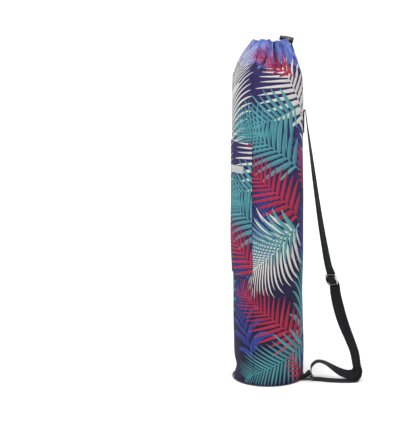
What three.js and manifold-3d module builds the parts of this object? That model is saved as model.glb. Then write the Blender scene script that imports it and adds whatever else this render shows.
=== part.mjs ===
// Yoga mat bag: a tall cloth cylinder, gathered shut at the top by a drawcord with a spring lock.
// A webbing strap runs down one side, through a slider, round a ring at the base and back up.
// Millimetres, +Z up. The origin is the centre of the base's underside, -Y is the front,
// and +X is the side that carries the strap. Angles go round from the front towards the strap.

import * as THREE from 'three';
import { mergeVertices } from 'three/addons/utils/BufferGeometryUtils.js';
import Module from 'manifold-3d';

const manifold = await Module();
manifold.setup();

// Bag sizes
const bagRadius = 74.4;
const bagHeight = 711;
const clothWall = 2;
const pieceGap = 0.3;
const basePanelThickness = 2;
const pipingRadius = 1.5;

// Pocket and label sizes
const pocketBottom = 230;
const pocketHeight = 278;
const pocketFromAngle = -150;
const pocketToAngle = -25;
const pocketThickness = 1.6;
const pocketSwell = 0.6;
const labelBottom = 445;
const labelHeight = 15;
const labelFromAngle = -76;
const labelToAngle = -39.5;
const labelThickness = 0.8;

// Strap sizes
const strapWidth = 25;
const strapThickness = 1.6;
const strapLayerGap = 0.4;
const strapFoldHeight = 568;
const strapPatchLength = 46;
const strapReach = 116.5;
const strapForward = 34;
const strapTuckLength = 16;
const sliderWire = 2.8;
const sliderHalfLength = 10;
const sliderPlace = 0.62;
const ringWire = 3;
const ringLength = 12.5;
const tabAngle = 70;
const hardwareClearance = 1;

// Drawcord and cord lock sizes
const cordDiameter = 3.5;
const knotDiameter = 8;
const lockDiameter = 12.4;
const lockLength = 20;
const lockEndWall = 1.6;
const buttonDiameter = 9.6;
const buttonShown = 9;
const buttonTravel = 3.5;
const buttonClearance = 0.2;
const lockCentre = new THREE.Vector3(40.6, 23.5, 711.2);
const cordHolePlace = 9;
const lockTilt = 13;

// How fine the cloth is divided
const clothSegments = 80;
const cordSides = 8;

const degrees = THREE.MathUtils.degToRad;

// One row for each ring of the cloth. height is a share of the bag's height, the others are
// shares of its radius: shift is towards the strap, crease is how deep the gathers go.
const rings = [
  { height: 0.0035, radius: 0.990, shift: 0.000, crease: 0.000, drop: 0.00 },
  { height: 0.0180, radius: 1.003, shift: 0.001, crease: 0.000, drop: 0.00 },
  { height: 0.0370, radius: 1.004, shift: 0.003, crease: 0.000, drop: 0.00 },
  { height: 0.0560, radius: 1.005, shift: 0.006, crease: 0.000, drop: 0.00 },
  { height: 0.0920, radius: 1.006, shift: 0.007, crease: 0.000, drop: 0.00 },
  { height: 0.1660, radius: 1.002, shift: -0.002, crease: 0.000, drop: 0.00 },
  { height: 0.2770, radius: 0.990, shift: 0.002, crease: 0.000, drop: 0.00 },
  { height: 0.4040, radius: 1.006, shift: -0.020, crease: 0.000, drop: 0.00 },
  { height: 0.5600, radius: 1.000, shift: -0.022, crease: 0.000, drop: 0.00 },
  { height: 0.7060, radius: 0.992, shift: -0.022, crease: 0.000, drop: 0.00 },
  { height: 0.8300, radius: 0.990, shift: -0.022, crease: 0.000, drop: 0.00 },
  { height: 0.8780, radius: 0.984, shift: -0.022, crease: 0.020, drop: 0.00 },
  { height: 0.9040, radius: 0.966, shift: -0.020, crease: 0.055, drop: 0.00 },
  { height: 0.9230, radius: 0.912, shift: -0.014, crease: 0.095, drop: 0.00 },
  { height: 0.9400, radius: 0.852, shift: -0.008, crease: 0.130, drop: 0.00 },
  { height: 0.9560, radius: 0.782, shift: 0.000, crease: 0.165, drop: 0.01 },
  { height: 0.9700, radius: 0.700, shift: 0.010, crease: 0.200, drop: 0.03 },
  { height: 0.9820, radius: 0.615, shift: 0.020, crease: 0.230, drop: 0.05 },
  { height: 0.9920, radius: 0.545, shift: 0.030, crease: 0.255, drop: 0.07 },
  { height: 1.0000, radius: 0.480, shift: 0.035, crease: 0.265, drop: 0.08 },
];

// One row for each gather. at is the angle of its ridge, swing turns the ridge at the rim,
// crease is the depth of the valley that follows it and top is the ridge's own height.
const gathers = [
  { at: -148, swing: 0, crease: 0.90, top: 0.000 },
  { at: -112, swing: 2, crease: 0.80, top: -0.002 },
  { at: -78, swing: 2, crease: 0.45, top: 0.003 },
  { at: -57, swing: 3, crease: 0.40, top: 0.000 },
  { at: -32, swing: 8, crease: 1.00, top: 0.004 },
  { at: 3, swing: 7, crease: 0.75, top: -0.001 },
  { at: 31, swing: -6, crease: 0.75, top: 0.000 },
  { at: 72, swing: 2, crease: 1.25, top: 0.004 },
  { at: 148, swing: 4, crease: 0.95, top: -0.004 },
  { at: 180, swing: 2, crease: 0.85, top: 0.000 },
];

// One row for each dent in the tube, with its angle, width, height on the bag, reach and depth.
const dents = [
  { at: -92, width: 55, height: 0.0360, reach: 0.026, depth: 0.085 },
  { at: -130, width: 40, height: 0.0700, reach: 0.030, depth: 0.030 },
  { at: 92, width: 50, height: 0.2800, reach: 0.050, depth: 0.012 },
  { at: -8, width: 30, height: 0.8300, reach: 0.050, depth: 0.014 },
  { at: 50, width: 36, height: 0.8450, reach: 0.040, depth: 0.016 },
];

// The way the strap hangs, one row a station, as shares of the loop's own height, reach and
// forward lean. turn is how far the webbing stands from facing the front, in degrees.
const hang = [
  { down: 0.020, out: 0.028, forward: 0.000, turn: 90 },
  { down: 0.056, out: 0.050, forward: 0.010, turn: 88 },
  { down: 0.143, out: 0.108, forward: 0.055, turn: 80 },
  { down: 0.230, out: 0.166, forward: 0.120, turn: 74 },
  { down: 0.317, out: 0.227, forward: 0.190, turn: 70 },
  { down: 0.405, out: 0.292, forward: 0.275, turn: 65 },
  { down: 0.493, out: 0.366, forward: 0.370, turn: 60 },
  { down: 0.570, out: 0.440, forward: 0.460, turn: 54 },
  { down: 0.620, out: 0.512, forward: 0.520, turn: 46 },
  { down: 0.670, out: 0.565, forward: 0.585, turn: 34 },
  { down: 0.714, out: 0.610, forward: 0.645, turn: 28 },
  { down: 0.759, out: 0.670, forward: 0.705, turn: 28 },
  { down: 0.804, out: 0.745, forward: 0.770, turn: 34 },
  { down: 0.848, out: 0.832, forward: 0.830, turn: 42 },
  { down: 0.893, out: 0.912, forward: 0.900, turn: 48 },
  { down: 0.938, out: 0.952, forward: 0.960, turn: 52 },
];

// The arch that the front layer makes on its way to the ring, as shares of the loop's reach
// beyond the ring, and of the arch's height. lift is how far the webbing's back edge is raised.
const archHeight = 40;
const arch = [
  { out: 0.960, rise: 0.640, forward: 1.00, lift: 6, facing: 55 },
  { out: 0.925, rise: 0.400, forward: 1.02, lift: 26, facing: 68 },
  { out: 0.850, rise: 0.320, forward: 1.04, lift: 32, facing: 80 },
  { out: 0.760, rise: 0.350, forward: 1.05, lift: 30, facing: 88 },
  { out: 0.655, rise: 0.470, forward: 1.04, lift: 26, facing: 90 },
  { out: 0.550, rise: 0.650, forward: 1.02, lift: 17, facing: 90 },
  { out: 0.465, rise: 0.810, forward: 0.99, lift: 8, facing: 90 },
  { out: 0.385, rise: 0.940, forward: 0.95, lift: 1, facing: 90 },
  { out: 0.305, rise: 1.000, forward: 0.90, lift: -4, facing: 90 },
  { out: 0.235, rise: 0.965, forward: 0.85, lift: -4, facing: 90 },
  { out: 0.175, rise: 0.830, forward: 0.80, lift: -2, facing: 90 },
  { out: 0.138, rise: 0.640, forward: 0.77, lift: 0, facing: 90 },
];

// The stretch that lies on the ground and turns up to the back layer
const ground = [
  { out: 0.300, rise: 0.000, forward: 0.86, lift: 0, facing: 90 },
  { out: 0.450, rise: 0.000, forward: 1.02, lift: 0, facing: 90 },
  { out: 0.600, rise: 0.000, forward: 1.12, lift: 0, facing: 90 },
  { out: 0.740, rise: 0.000, forward: 1.16, lift: 0, facing: 90 },
  { out: 0.860, rise: 0.010, forward: 1.15, lift: 2, facing: 88 },
  { out: 0.940, rise: 0.070, forward: 1.10, lift: 8, facing: 80 },
  { out: 0.985, rise: 0.250, forward: 1.05, lift: 8, facing: 68 },
  { out: 1.000, rise: 0.560, forward: 1.00, lift: 4, facing: 58 },
];

// How the strap weaves through the slider. down is a share of the slider's half length, clear
// counts bar clearances and layers counts thicknesses of webbing, towards the front.
const sliderWeave = [
  { down: -1.40, clear: -1.00, layers: 0.0 },
  { down: -1.00, clear: -1.00, layers: 0.0 },
  { down: -0.76, clear: -0.64, layers: 0.0 },
  { down: -0.50, clear: 0.36, layers: 0.5 },
  { down: -0.26, clear: 0.80, layers: 1.0 },
  { down: 0.00, clear: 1.00, layers: 1.0 },
  { down: 0.26, clear: 0.80, layers: 1.0 },
  { down: 0.50, clear: 0.36, layers: 0.5 },
  { down: 0.76, clear: -0.64, layers: 0.0 },
  { down: 1.00, clear: -1.00, layers: 0.0 },
  { down: 1.40, clear: -1.00, layers: 0.0 },
];
const loopRise = [
  { down: 2.40, clear: -1.00, layers: -1.4 },
  { down: 1.70, clear: -1.00, layers: -2.0 },
  { down: 0.85, clear: -1.00, layers: -2.0 },
  { down: 0.55, clear: -1.00, layers: -1.55 },
  { down: 0.25, clear: -1.00, layers: -0.55 },
];
const loopTuck = [
  { down: 0.40, clear: -0.48, layers: 0.0 },
  { down: 0.62, clear: -1.00, layers: -0.55 },
  { down: 0.90, clear: -1.00, layers: -1.0 },
];

// The two tails of the drawcord, from the rim through the lock and down behind the shoulder.
// The points are millimetres and chosen by hand.
const tailRoutes = {
  drawcord_tail_left: [
    [34.6, 4.4, 702.6], [36.4, 8.4, 707.2], [37.9, 12.4, 710.6], [38.7, 16.4, 711.6],
    [38.75, 20.0, 711.6], [38.75, 25.0, 711.6], [38.75, 30.0, 711.6], [39.1, 34.8, 710.4],
    [40.0, 38.6, 706.6], [41.4, 40.8, 700.6], [42.9, 41.8, 693.2], [44.5, 42.6, 685.0],
    [46.3, 43.6, 676.0], [48.2, 44.8, 666.4], [50.1, 46.4, 656.2], [51.7, 48.2, 645.0],
    [53.5, 50.0, 632.0], [54.6, 51.0, 618.0], [54.8, 51.2, 604.0], [55.2, 51.6, 590.0],
    [56.0, 52.3, 576.0], [56.8, 53.0, 562.0],
  ],
  drawcord_tail_right: [
    [38.6, 2.6, 702.8], [40.2, 7.0, 706.8], [41.6, 11.6, 709.8], [42.4, 16.2, 710.7],
    [42.45, 20.0, 710.7], [42.45, 25.0, 710.7], [42.5, 30.0, 710.6], [43.4, 34.4, 709.2],
    [45.4, 37.4, 705.2], [48.0, 38.2, 699.2], [50.6, 37.6, 692.0], [53.0, 36.6, 684.0],
    [55.4, 35.8, 675.0], [57.6, 35.4, 665.0], [59.4, 35.6, 654.4], [61.0, 36.4, 643.0],
    [62.9, 37.4, 630.0], [64.0, 38.2, 616.0], [64.2, 38.4, 602.0], [64.5, 38.6, 588.0],
    [65.4, 39.1, 573.0], [66.5, 39.8, 556.0],
  ],
};

const strapColour = 0x1d1d20;
const clothColour = 0x3f3a80;
const pocketColour = 0x46549c;
const pipingColour = 0x16162c;
const labelColour = 0x9c9c9c;
const sliderColour = 0xc4c6ca;
const plasticColour = 0x141416;

const group = new THREE.Group();

// Adds a finished solid to the bag under its name.
function add(name, geometry, colour, roughness, metalness = 0) {
  const material = new THREE.MeshStandardMaterial({ color: colour, roughness, metalness });
  const mesh = new THREE.Mesh(geometry, material);
  mesh.name = name;
  group.add(mesh);
  return mesh;
}

// Moves every corner of a straight piece to its place in the finished form.
function bend(geometry, place) {
  const corners = geometry.attributes.position;
  const corner = new THREE.Vector3();
  for (let i = 0; i < corners.count; i += 1) {
    corner.fromBufferAttribute(corners, i);
    corner.copy(place(corner));
    corners.setXYZ(i, corner.x, corner.y, corner.z);
  }
  geometry.computeVertexNormals();
  return geometry;
}

// Reads one column of a table of rows between two heights.
function readRings(column, height) {
  const last = rings.length - 1;
  if (height <= rings[0].height) return rings[0][column];
  if (height >= rings[last].height) return rings[last][column];
  const above = rings.findIndex((row) => row.height >= height);
  const low = rings[above - 1];
  const high = rings[above];
  const along = (height - low.height) / (high.height - low.height);
  return THREE.MathUtils.lerp(low[column], high[column], along);
}

// The gather that an angle falls in: how deep it lies between two ridges, and the ridge's height.
function readGathers(angle, pull) {
  const ridges = gathers.map((row) => row.at + row.swing * pull);
  const turned = THREE.MathUtils.euclideanModulo(angle - ridges[0], 360) + ridges[0];
  let index = gathers.length - 1;
  while (ridges[index] > turned) index -= 1;
  const next = (index + 1) % gathers.length;
  const end = next === 0 ? ridges[0] + 360 : ridges[next];
  const along = (turned - ridges[index]) / (end - ridges[index]);
  const valley = (1 - Math.abs(1 - 2 * along)) ** 1.4;
  const top = THREE.MathUtils.lerp(gathers[index].top, gathers[next].top, along);
  return { valley: valley * gathers[index].crease, top };
}

// How far the dents push the cloth in, as a share of the bag's radius.
function readDents(angle, height) {
  let depth = 0;
  for (const dent of dents) {
    const turn = THREE.MathUtils.euclideanModulo(angle - dent.at + 180, 360) - 180;
    const across = Math.exp(-((turn / dent.width) ** 2) * 2);
    const along = Math.exp(-(((height - dent.height) / dent.reach) ** 2));
    depth += dent.depth * across * along;
  }
  return depth;
}

// The radius of the cloth's outer face about its own ring's centre.
function clothRadius(angle, height) {
  const pull = THREE.MathUtils.smoothstep(height, 0.88, 1);
  const crease = readRings('crease', height) * readGathers(angle, pull).valley;
  return bagRadius * (readRings('radius', height) - crease - readDents(angle, height));
}

// A point on the cloth, or so far outside its outer face. height is a share of the bag's height.
function clothPoint(angle, height, outward = 0) {
  const gather = readGathers(angle, 1);
  const radius = clothRadius(angle, height) + outward;
  const turn = degrees(angle);
  const drop = readRings('drop', height);
  const fall = drop * bagRadius * gather.valley - bagHeight * gather.top * (drop / rings.at(-1).drop);
  const x = Math.sin(turn) * radius + bagRadius * readRings('shift', height);
  return new THREE.Vector3(x, -Math.cos(turn) * radius, height * bagHeight - fall);
}

// How far in the wall's inner face lies, measured towards the axis, so that a steep fold
// keeps its thickness.
function wallInward(angle, height) {
  const step = 2;
  const rise = clothRadius(angle + step, height) - clothRadius(angle - step, height);
  const slope = rise / (clothRadius(angle, height) * 2 * degrees(step));
  return clothWall * Math.min(Math.hypot(1, slope), 2.4);
}

// The tube of printed cloth, hollow and open at the gathered mouth
function makeBody() {
  const outer = rings.map((row) => new THREE.Vector2(1, row.height));
  const inner = rings.map((row) => new THREE.Vector2(0.9, row.height)).reverse();
  const profile = [...outer, ...inner, outer[0].clone()];
  const tube = new THREE.LatheGeometry(profile, clothSegments);
  return bend(tube, (corner) => {
    const angle = THREE.MathUtils.radToDeg(Math.atan2(corner.x, corner.z));
    const isInner = Math.hypot(corner.x, corner.z) < 0.95;
    const inward = isInner ? wallInward(angle, corner.y) : 0;
    return clothPoint(angle, corner.y, -inward);
  });
}

// The flat round panel that the bag stands on
function makeBasePanel() {
  const radius = bagRadius * rings[0].radius - pieceGap;
  const disc = new THREE.CylinderGeometry(radius, radius, basePanelThickness, clothSegments);
  disc.rotateX(Math.PI / 2);
  disc.translate(0, 0, basePanelThickness / 2);
  return disc;
}

// The thin piping over the seam between the tube and the base panel
function makePiping() {
  const radius = bagRadius * rings[0].radius + pieceGap + pipingRadius;
  const ring = new THREE.TorusGeometry(radius, pipingRadius, 6, clothSegments / 2);
  ring.translate(0, 0, pipingRadius);
  return ring;
}

// A patch of cloth that lies on the tube between two angles
function makePatch({ from, to, bottom, height, lift, thickness, columns, rows, swell }) {
  const sheet = new THREE.BoxGeometry(1, 1, 1, columns, rows, 1);
  return bend(sheet, (corner) => {
    const across = corner.x + 0.5;
    const along = corner.y + 0.5;
    const angle = THREE.MathUtils.lerp(from, to, across);
    const share = (bottom + height * along) / bagHeight;
    const edge = Math.sin(Math.PI * across) * Math.sin(Math.PI * along);
    const outward = lift + swell * Math.sqrt(Math.max(edge, 0)) + thickness * (corner.z + 0.5);
    return clothPoint(angle, share, outward);
  });
}

// The side of the bag where the strap is sewn, at a height in millimetres
function strapSide(height) {
  return clothPoint(90, height / bagHeight).x;
}

const layerStep = strapThickness + strapLayerGap;
const seamHeight = strapFoldHeight - strapPatchLength;
const sewnX = Math.max(strapSide(seamHeight), strapSide(strapFoldHeight)) + pieceGap + strapThickness / 2;
const foldRadius = layerStep / 2 + 0.6;
const loopStart = bagRadius;

// The direction from the webbing's back edge to its front edge
function edgeDirection(turn, lift = 0) {
  const flat = Math.cos(degrees(lift));
  const x = Math.cos(degrees(turn)) * flat;
  const y = -Math.sin(degrees(turn)) * flat;
  return new THREE.Vector3(x, y, -Math.sin(degrees(lift)));
}

function hangStation(row) {
  const z = strapFoldHeight * (1 - row.down);
  const point = new THREE.Vector3(loopStart + strapReach * row.out, -strapForward * row.forward, z);
  return { point, across: edgeDirection(row.turn) };
}

const groundZ = strapThickness / 2 + 0.2;

function lowStation(row) {
  const x = loopStart + strapReach * row.out;
  const z = groundZ + archHeight * row.rise;
  return {
    point: new THREE.Vector3(x, -strapForward * row.forward, z),
    across: edgeDirection(row.facing, row.lift),
  };
}

// The stations of a table, shifted along the webbing's own thickness
function shifted(stations, amount) {
  return stations.map((station, index) => {
    const before = stations[Math.max(index - 1, 0)].point;
    const after = stations[Math.min(index + 1, stations.length - 1)].point;
    const along = after.clone().sub(before).normalize();
    const normal = along.cross(station.across).normalize();
    return {
      point: station.point.clone().addScaledVector(normal, amount),
      across: station.across.clone(),
    };
  });
}

const hangStations = hang.map(hangStation);

// The slider's place on the strap: its middle, and its directions along, across and out of the webbing
function sliderFrame() {
  const below = hang.findIndex((row) => row.down >= sliderPlace);
  const high = hangStation(hang[below - 1]);
  const low = hangStation(hang[below]);
  const share = (sliderPlace - hang[below - 1].down) / (hang[below].down - hang[below - 1].down);
  const next = hangStation(hang[below + 1]);
  const along = next.point.clone().sub(high.point).normalize();
  const across = high.across.clone().lerp(low.across, share);
  const front = along.clone().cross(across).normalize();
  across.copy(front).cross(along).normalize();
  const middle = high.point.clone().lerp(low.point, share);
  middle.addScaledVector(front, sliderWire / 2 + pieceGap + strapThickness / 2);
  return { middle, along, across, front };
}

const slider = sliderFrame();

// A station given in the slider's own directions
function sliderStation(down, front) {
  const point = slider.middle.clone();
  point.addScaledVector(slider.along, down).addScaledVector(slider.front, front);
  return { point, across: slider.across.clone() };
}

const wireClear = sliderWire / 2 + pieceGap + strapThickness / 2;

function sliderRoute(rows) {
  return rows.map((row) => sliderStation(
    row.down * sliderHalfLength,
    row.clear * wireClear + row.layers * layerStep,
  ));
}

// The ring at the base: its two long bars lie across the strap, one held by the tab
const ringForward = 26;
const ringBarLow = new THREE.Vector3(bagRadius + 19.5, -ringForward, 0);
ringBarLow.z = groundZ + ringWire / 2 + pieceGap + strapThickness / 2;
const ringLean = degrees(128);
const ringDirection = new THREE.Vector3(Math.cos(ringLean), 0, Math.sin(ringLean));
const ringBarHigh = ringBarLow.clone().addScaledVector(ringDirection, ringLength);
const ringClear = ringWire / 2 + pieceGap + strapThickness / 2;

// A half turn of webbing round a bar that lies across the front, between two angles
function roundBar(centre, radius, from, to, steps, facing = 90) {
  const stations = [];
  for (let i = 0; i <= steps; i += 1) {
    const turn = degrees(THREE.MathUtils.lerp(from, to, i / steps));
    const point = centre.clone();
    point.x += Math.cos(turn) * radius;
    point.z += Math.sin(turn) * radius;
    stations.push({ point, across: edgeDirection(facing) });
  }
  return stations;
}

// The whole strap, from the end sewn to the bag to the end tucked behind the slider
function strapStations() {
  const sewn = [
    { point: new THREE.Vector3(sewnX, 0, seamHeight), across: edgeDirection(90) },
    { point: new THREE.Vector3(sewnX, 0, seamHeight + strapPatchLength / 2), across: edgeDirection(90) },
    { point: new THREE.Vector3(sewnX, 0, strapFoldHeight - foldRadius * 2), across: edgeDirection(90) },
  ];
  const foldCentre = new THREE.Vector3(sewnX + foldRadius, 0, strapFoldHeight - foldRadius);
  const fold = roundBar(foldCentre, foldRadius, 165, 15, 4);
  const nearSlider = (row) => Math.abs(row.down - sliderPlace) * strapFoldHeight < 24;
  const above = hang.filter((row) => row.down < sliderPlace && !nearSlider(row)).map(hangStation);
  const weave = sliderRoute(sliderWeave);
  const lower = hangStations.filter((row, i) => hang[i].down > sliderPlace && !nearSlider(hang[i]));
  const archStations = arch.map(lowStation);
  const wrap = roundBar(ringBarLow, ringClear, 150, 270, 5);
  const rise = ground.map(lowStation);
  const back = shifted(lower, -layerStep).reverse();
  const loop = [];
  for (let turn = 270; turn >= 45; turn -= 45) {
    const down = Math.cos(degrees(turn)) * wireClear;
    loop.push(sliderStation(down, Math.sin(degrees(turn)) * wireClear));
  }
  const hairpin = [...sliderRoute(loopRise), ...loop, ...sliderRoute(loopTuck)];
  hairpin.push(sliderStation(strapTuckLength, -wireClear - layerStep));
  const front = [...sewn, ...fold, ...above, ...weave, ...lower];
  const below = [...archStations, ...wrap, ...rise];
  return [...front, ...below, ...back, ...hairpin];
}

// A strip of webbing bent along its stations
function makeWebbing(stations, width, thickness, steps) {
  const path = new THREE.CatmullRomCurve3(stations.map((station) => station.point), false, 'centripetal');
  const strip = new THREE.BoxGeometry(width, thickness, 1, 1, 1, steps);
  const last = stations.length - 1;
  return bend(strip, (corner) => {
    const share = corner.z + 0.5;
    const index = Math.min(Math.floor(share * last), last - 1);
    const across = stations[index].across.clone().lerp(stations[index + 1].across, share * last - index);
    const along = path.getTangent(share);
    const normal = along.clone().cross(across).normalize();
    across.copy(normal).cross(along).normalize();
    return path.getPoint(share).addScaledVector(across, corner.x).addScaledVector(normal, corner.y);
  });
}

// A closed loop of wire with straight sides, lying flat
function makeWireLoop(halfWidth, halfLength, cornerRadius, wire) {
  const loop = new THREE.TorusGeometry(cornerRadius, wire / 2, 8, 20);
  loop.rotateZ(Math.PI / 20);
  return bend(loop, (corner) => new THREE.Vector3(
    corner.x + Math.sign(corner.x) * (halfWidth - cornerRadius),
    corner.y + Math.sign(corner.y) * (halfLength - cornerRadius),
    corner.z,
  ));
}

// Turns a geometry into a solid that can be cut and joined
function toSolid(geometry) {
  const plain = geometry.clone();
  plain.deleteAttribute('normal');
  plain.deleteAttribute('uv');
  const merged = mergeVertices(plain, 1e-4);
  const vertProperties = new Float32Array(merged.attributes.position.array);
  const triVerts = new Uint32Array(merged.index.array);
  return new manifold.Manifold(new manifold.Mesh({ numProp: 3, vertProperties, triVerts }));
}

function toGeometry(solid) {
  const mesh = solid.getMesh();
  const geometry = new THREE.BufferGeometry();
  geometry.setAttribute('position', new THREE.BufferAttribute(new Float32Array(mesh.vertProperties), 3));
  geometry.setIndex(new THREE.BufferAttribute(new Uint32Array(mesh.triVerts), 1));
  geometry.computeVertexNormals();
  return geometry;
}

const hardwareHalfWidth = strapWidth / 2 + hardwareClearance + sliderWire / 2;
const ringHalfWidth = strapWidth / 2 + hardwareClearance + ringWire / 2;

// The three-bar slider that sets the strap's length
function makeSlider() {
  const loop = makeWireLoop(hardwareHalfWidth, sliderHalfLength, sliderWire * 1.2, sliderWire);
  const bar = new THREE.CylinderGeometry(sliderWire / 2, sliderWire / 2, hardwareHalfWidth * 2, 8);
  bar.rotateZ(Math.PI / 2);
  const geometry = toGeometry(toSolid(loop).add(toSolid(bar)));
  const turn = new THREE.Matrix4().makeBasis(slider.across, slider.along, slider.front.clone().negate());
  turn.setPosition(slider.middle);
  return geometry.applyMatrix4(turn);
}

// The ring that joins the strap to the tab at the base
function makeRing() {
  const loop = makeWireLoop(ringHalfWidth, ringLength / 2, ringWire * 1.2, ringWire);
  const sideways = new THREE.Vector3(0, 1, 0);
  const facing = sideways.clone().cross(ringDirection);
  const turn = new THREE.Matrix4().makeBasis(sideways, ringDirection, facing);
  turn.setPosition(ringBarLow.clone().lerp(ringBarHigh, 0.5));
  return loop.applyMatrix4(turn);
}

// The short tab of webbing that is sewn to the base and holds the ring
function makeTab() {
  const root = pipingRadius * 2 + pieceGap + strapThickness / 2;
  const layers = [root, root + layerStep].map((height) => [
    clothPoint(tabAngle, height / bagHeight, pieceGap),
    clothPoint(tabAngle, height / bagHeight, pieceGap + 2.5),
  ].map((point) => ({ point: point.setZ(height), across: edgeDirection(180 - tabAngle) })));
  const turn = roundBar(ringBarHigh, ringClear, -70, 125, 6);
  const stations = [...layers[0], ...turn, ...layers[1].reverse()];
  return makeWebbing(stations, strapWidth, strapThickness, stations.length * 2);
}

// A round cord along a route
function makeCord(route) {
  const points = route.map((point) => new THREE.Vector3(...point));
  const path = new THREE.CatmullRomCurve3(points, false, 'centripetal');
  const steps = Math.round(path.getLength() / (cordDiameter * 2.4));
  const section = new THREE.Shape();
  section.absarc(0, 0, cordDiameter / 2, 0, Math.PI * 2);
  const options = { extrudePath: path, steps, curveSegments: cordSides };
  return new THREE.ExtrudeGeometry(section, options);
}

// The overhand knot that ends a tail, a rounded lump a little taller than wide
function makeKnot(route) {
  const knot = new THREE.SphereGeometry(knotDiameter / 2, 10, 8);
  knot.rotateX(Math.PI / 2);
  knot.scale(1, 0.85, 1.15);
  const [x, y, z] = route.at(-1);
  return knot.translate(x, y, z - knotDiameter / 2 * 1.15 - pieceGap);
}

// A slot for the two cords, through the lock from front to back
function makeCordSlot(from, to, depth) {
  const height = cordDiameter + 4 * buttonClearance;
  const slot = new THREE.BoxGeometry(to - from, depth, height, 1, 1, 1);
  return toSolid(slot.translate((from + to) / 2, 0, 0));
}

const cordsHalfWidth = cordDiameter + buttonClearance + 0.3;
const plungerLength = cordHolePlace + cordsHalfWidth + 1.3;

// Turns a lock piece from its own axis, with the cords' hole at the origin, to its place
function placeInLock(geometry) {
  geometry.rotateY(degrees(lockTilt));
  return geometry.translate(lockCentre.x, lockCentre.y, lockCentre.z);
}

function makeRod(radius, from, to, sides) {
  const rod = new THREE.CylinderGeometry(radius, radius, to - from, sides);
  rod.rotateZ(-Math.PI / 2);
  return rod.translate((from + to) / 2 - cordHolePlace, 0, 0);
}

// The lock's barrel: a cup with a slot for the cords
function makeBarrel() {
  const bore = buttonDiameter / 2 + buttonClearance;
  const shell = toSolid(makeRod(lockDiameter / 2, 0, lockLength, 24));
  const hollow = toSolid(makeRod(bore, -1, lockLength - lockEndWall, 24));
  const slot = makeCordSlot(-cordsHalfWidth, cordsHalfWidth, lockDiameter * 2);
  return placeInLock(toGeometry(shell.subtract(hollow).subtract(slot)));
}

// The sprung button, with a longer slot so that it can be pushed in past the cords
function makeButton() {
  const rod = toSolid(makeRod(buttonDiameter / 2, -buttonShown, plungerLength, 24));
  const slot = makeCordSlot(-cordsHalfWidth - buttonTravel, cordsHalfWidth, buttonDiameter * 2);
  return placeInLock(toGeometry(rod.subtract(slot)));
}

add('bag_body', makeBody(), clothColour, 0.9);
add('base_panel', makeBasePanel(), clothColour, 0.9);
add('base_piping', makePiping(), pipingColour, 0.85);
add('side_pocket', makePatch({
  from: pocketFromAngle,
  to: pocketToAngle,
  bottom: pocketBottom,
  height: pocketHeight,
  lift: pieceGap,
  thickness: pocketThickness,
  columns: 24,
  rows: 8,
  swell: pocketSwell,
}), pocketColour, 0.9);
add('pocket_label', makePatch({
  from: labelFromAngle,
  to: labelToAngle,
  bottom: labelBottom,
  height: labelHeight,
  lift: pocketThickness + pocketSwell + pieceGap * 2,
  thickness: labelThickness,
  columns: 8,
  rows: 1,
  swell: 0,
}), labelColour, 0.8);

const strap = strapStations();
add('shoulder_strap', makeWebbing(strap, strapWidth, strapThickness, strap.length - 1), strapColour, 0.8);
add('strap_slider', makeSlider(), sliderColour, 0.3, 1);
add('strap_ring', makeRing(), plasticColour, 0.4);
add('ring_tab', makeTab(), strapColour, 0.8);
add('cord_lock_barrel', makeBarrel(), plasticColour, 0.45);
add('cord_lock_button', makeButton(), plasticColour, 0.45);
for (const [name, route] of Object.entries(tailRoutes)) {
  add(name, makeCord(route), strapColour, 0.8);
  add(name.replace('tail', 'knot'), makeKnot(route), strapColour, 0.8);
}

export default group;
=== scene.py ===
# %% [markdown]
# A drawstring bag for a rolled yoga mat, dressed for its portrait.
# The frame gives the true sizes: the solids of the bag, its strap, its slider and its cord lock.
# This lesson covers them with finer cloth, webbing and metal, and never moves what the frame fixed.

# %% Load the frame
import math
from functools import partial

import bpy
import numpy as np
from mathutils import Matrix, Vector


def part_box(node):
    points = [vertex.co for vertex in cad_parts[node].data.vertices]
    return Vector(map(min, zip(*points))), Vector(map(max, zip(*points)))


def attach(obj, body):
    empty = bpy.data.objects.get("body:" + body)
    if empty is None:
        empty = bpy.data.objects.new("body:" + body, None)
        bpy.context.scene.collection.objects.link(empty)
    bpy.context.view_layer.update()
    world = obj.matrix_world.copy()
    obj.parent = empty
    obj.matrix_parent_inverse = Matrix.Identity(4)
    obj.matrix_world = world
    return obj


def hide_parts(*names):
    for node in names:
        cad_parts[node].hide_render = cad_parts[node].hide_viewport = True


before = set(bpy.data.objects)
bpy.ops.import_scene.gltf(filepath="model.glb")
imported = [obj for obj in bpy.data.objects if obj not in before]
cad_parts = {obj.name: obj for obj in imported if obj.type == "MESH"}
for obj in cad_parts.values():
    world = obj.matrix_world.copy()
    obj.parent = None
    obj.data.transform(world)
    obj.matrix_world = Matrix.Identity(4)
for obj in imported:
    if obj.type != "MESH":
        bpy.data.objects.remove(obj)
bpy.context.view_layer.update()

MM = 0.001

# %% [markdown]
# The camera comes first. The photo was taken from about two and a half metres, a little above
# the top of the bag, with a long lens that looks slightly down. A long lens keeps the bag's
# sides almost parallel, which a close wide lens would not. The bag stands right of the middle,
# so the lens is shifted sideways and the view direction stays square to the bag.

# %% Camera
camera_distance = 2.5
camera_height = 0.83
look_down = math.radians(10.886)
lens_in_pixels = 1220.3
frame_width, frame_height = 416, 430
axis_right_of_middle = 60.3

camera_data = bpy.data.cameras.new("portrait_camera")
camera_data.sensor_width = 36.0
camera_data.lens = lens_in_pixels / frame_height * camera_data.sensor_width
camera_data.shift_x = -axis_right_of_middle / frame_height
camera = bpy.data.objects.new("portrait_camera", camera_data)
camera.location = (0.0, -camera_distance, camera_height)
camera.rotation_euler = (math.pi / 2 - look_down, 0.0, 0.0)
bpy.context.scene.collection.objects.link(camera)
bpy.context.scene.camera = camera
print("lens", round(camera_data.lens, 1), "mm, shift", round(camera_data.shift_x, 3))

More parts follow.
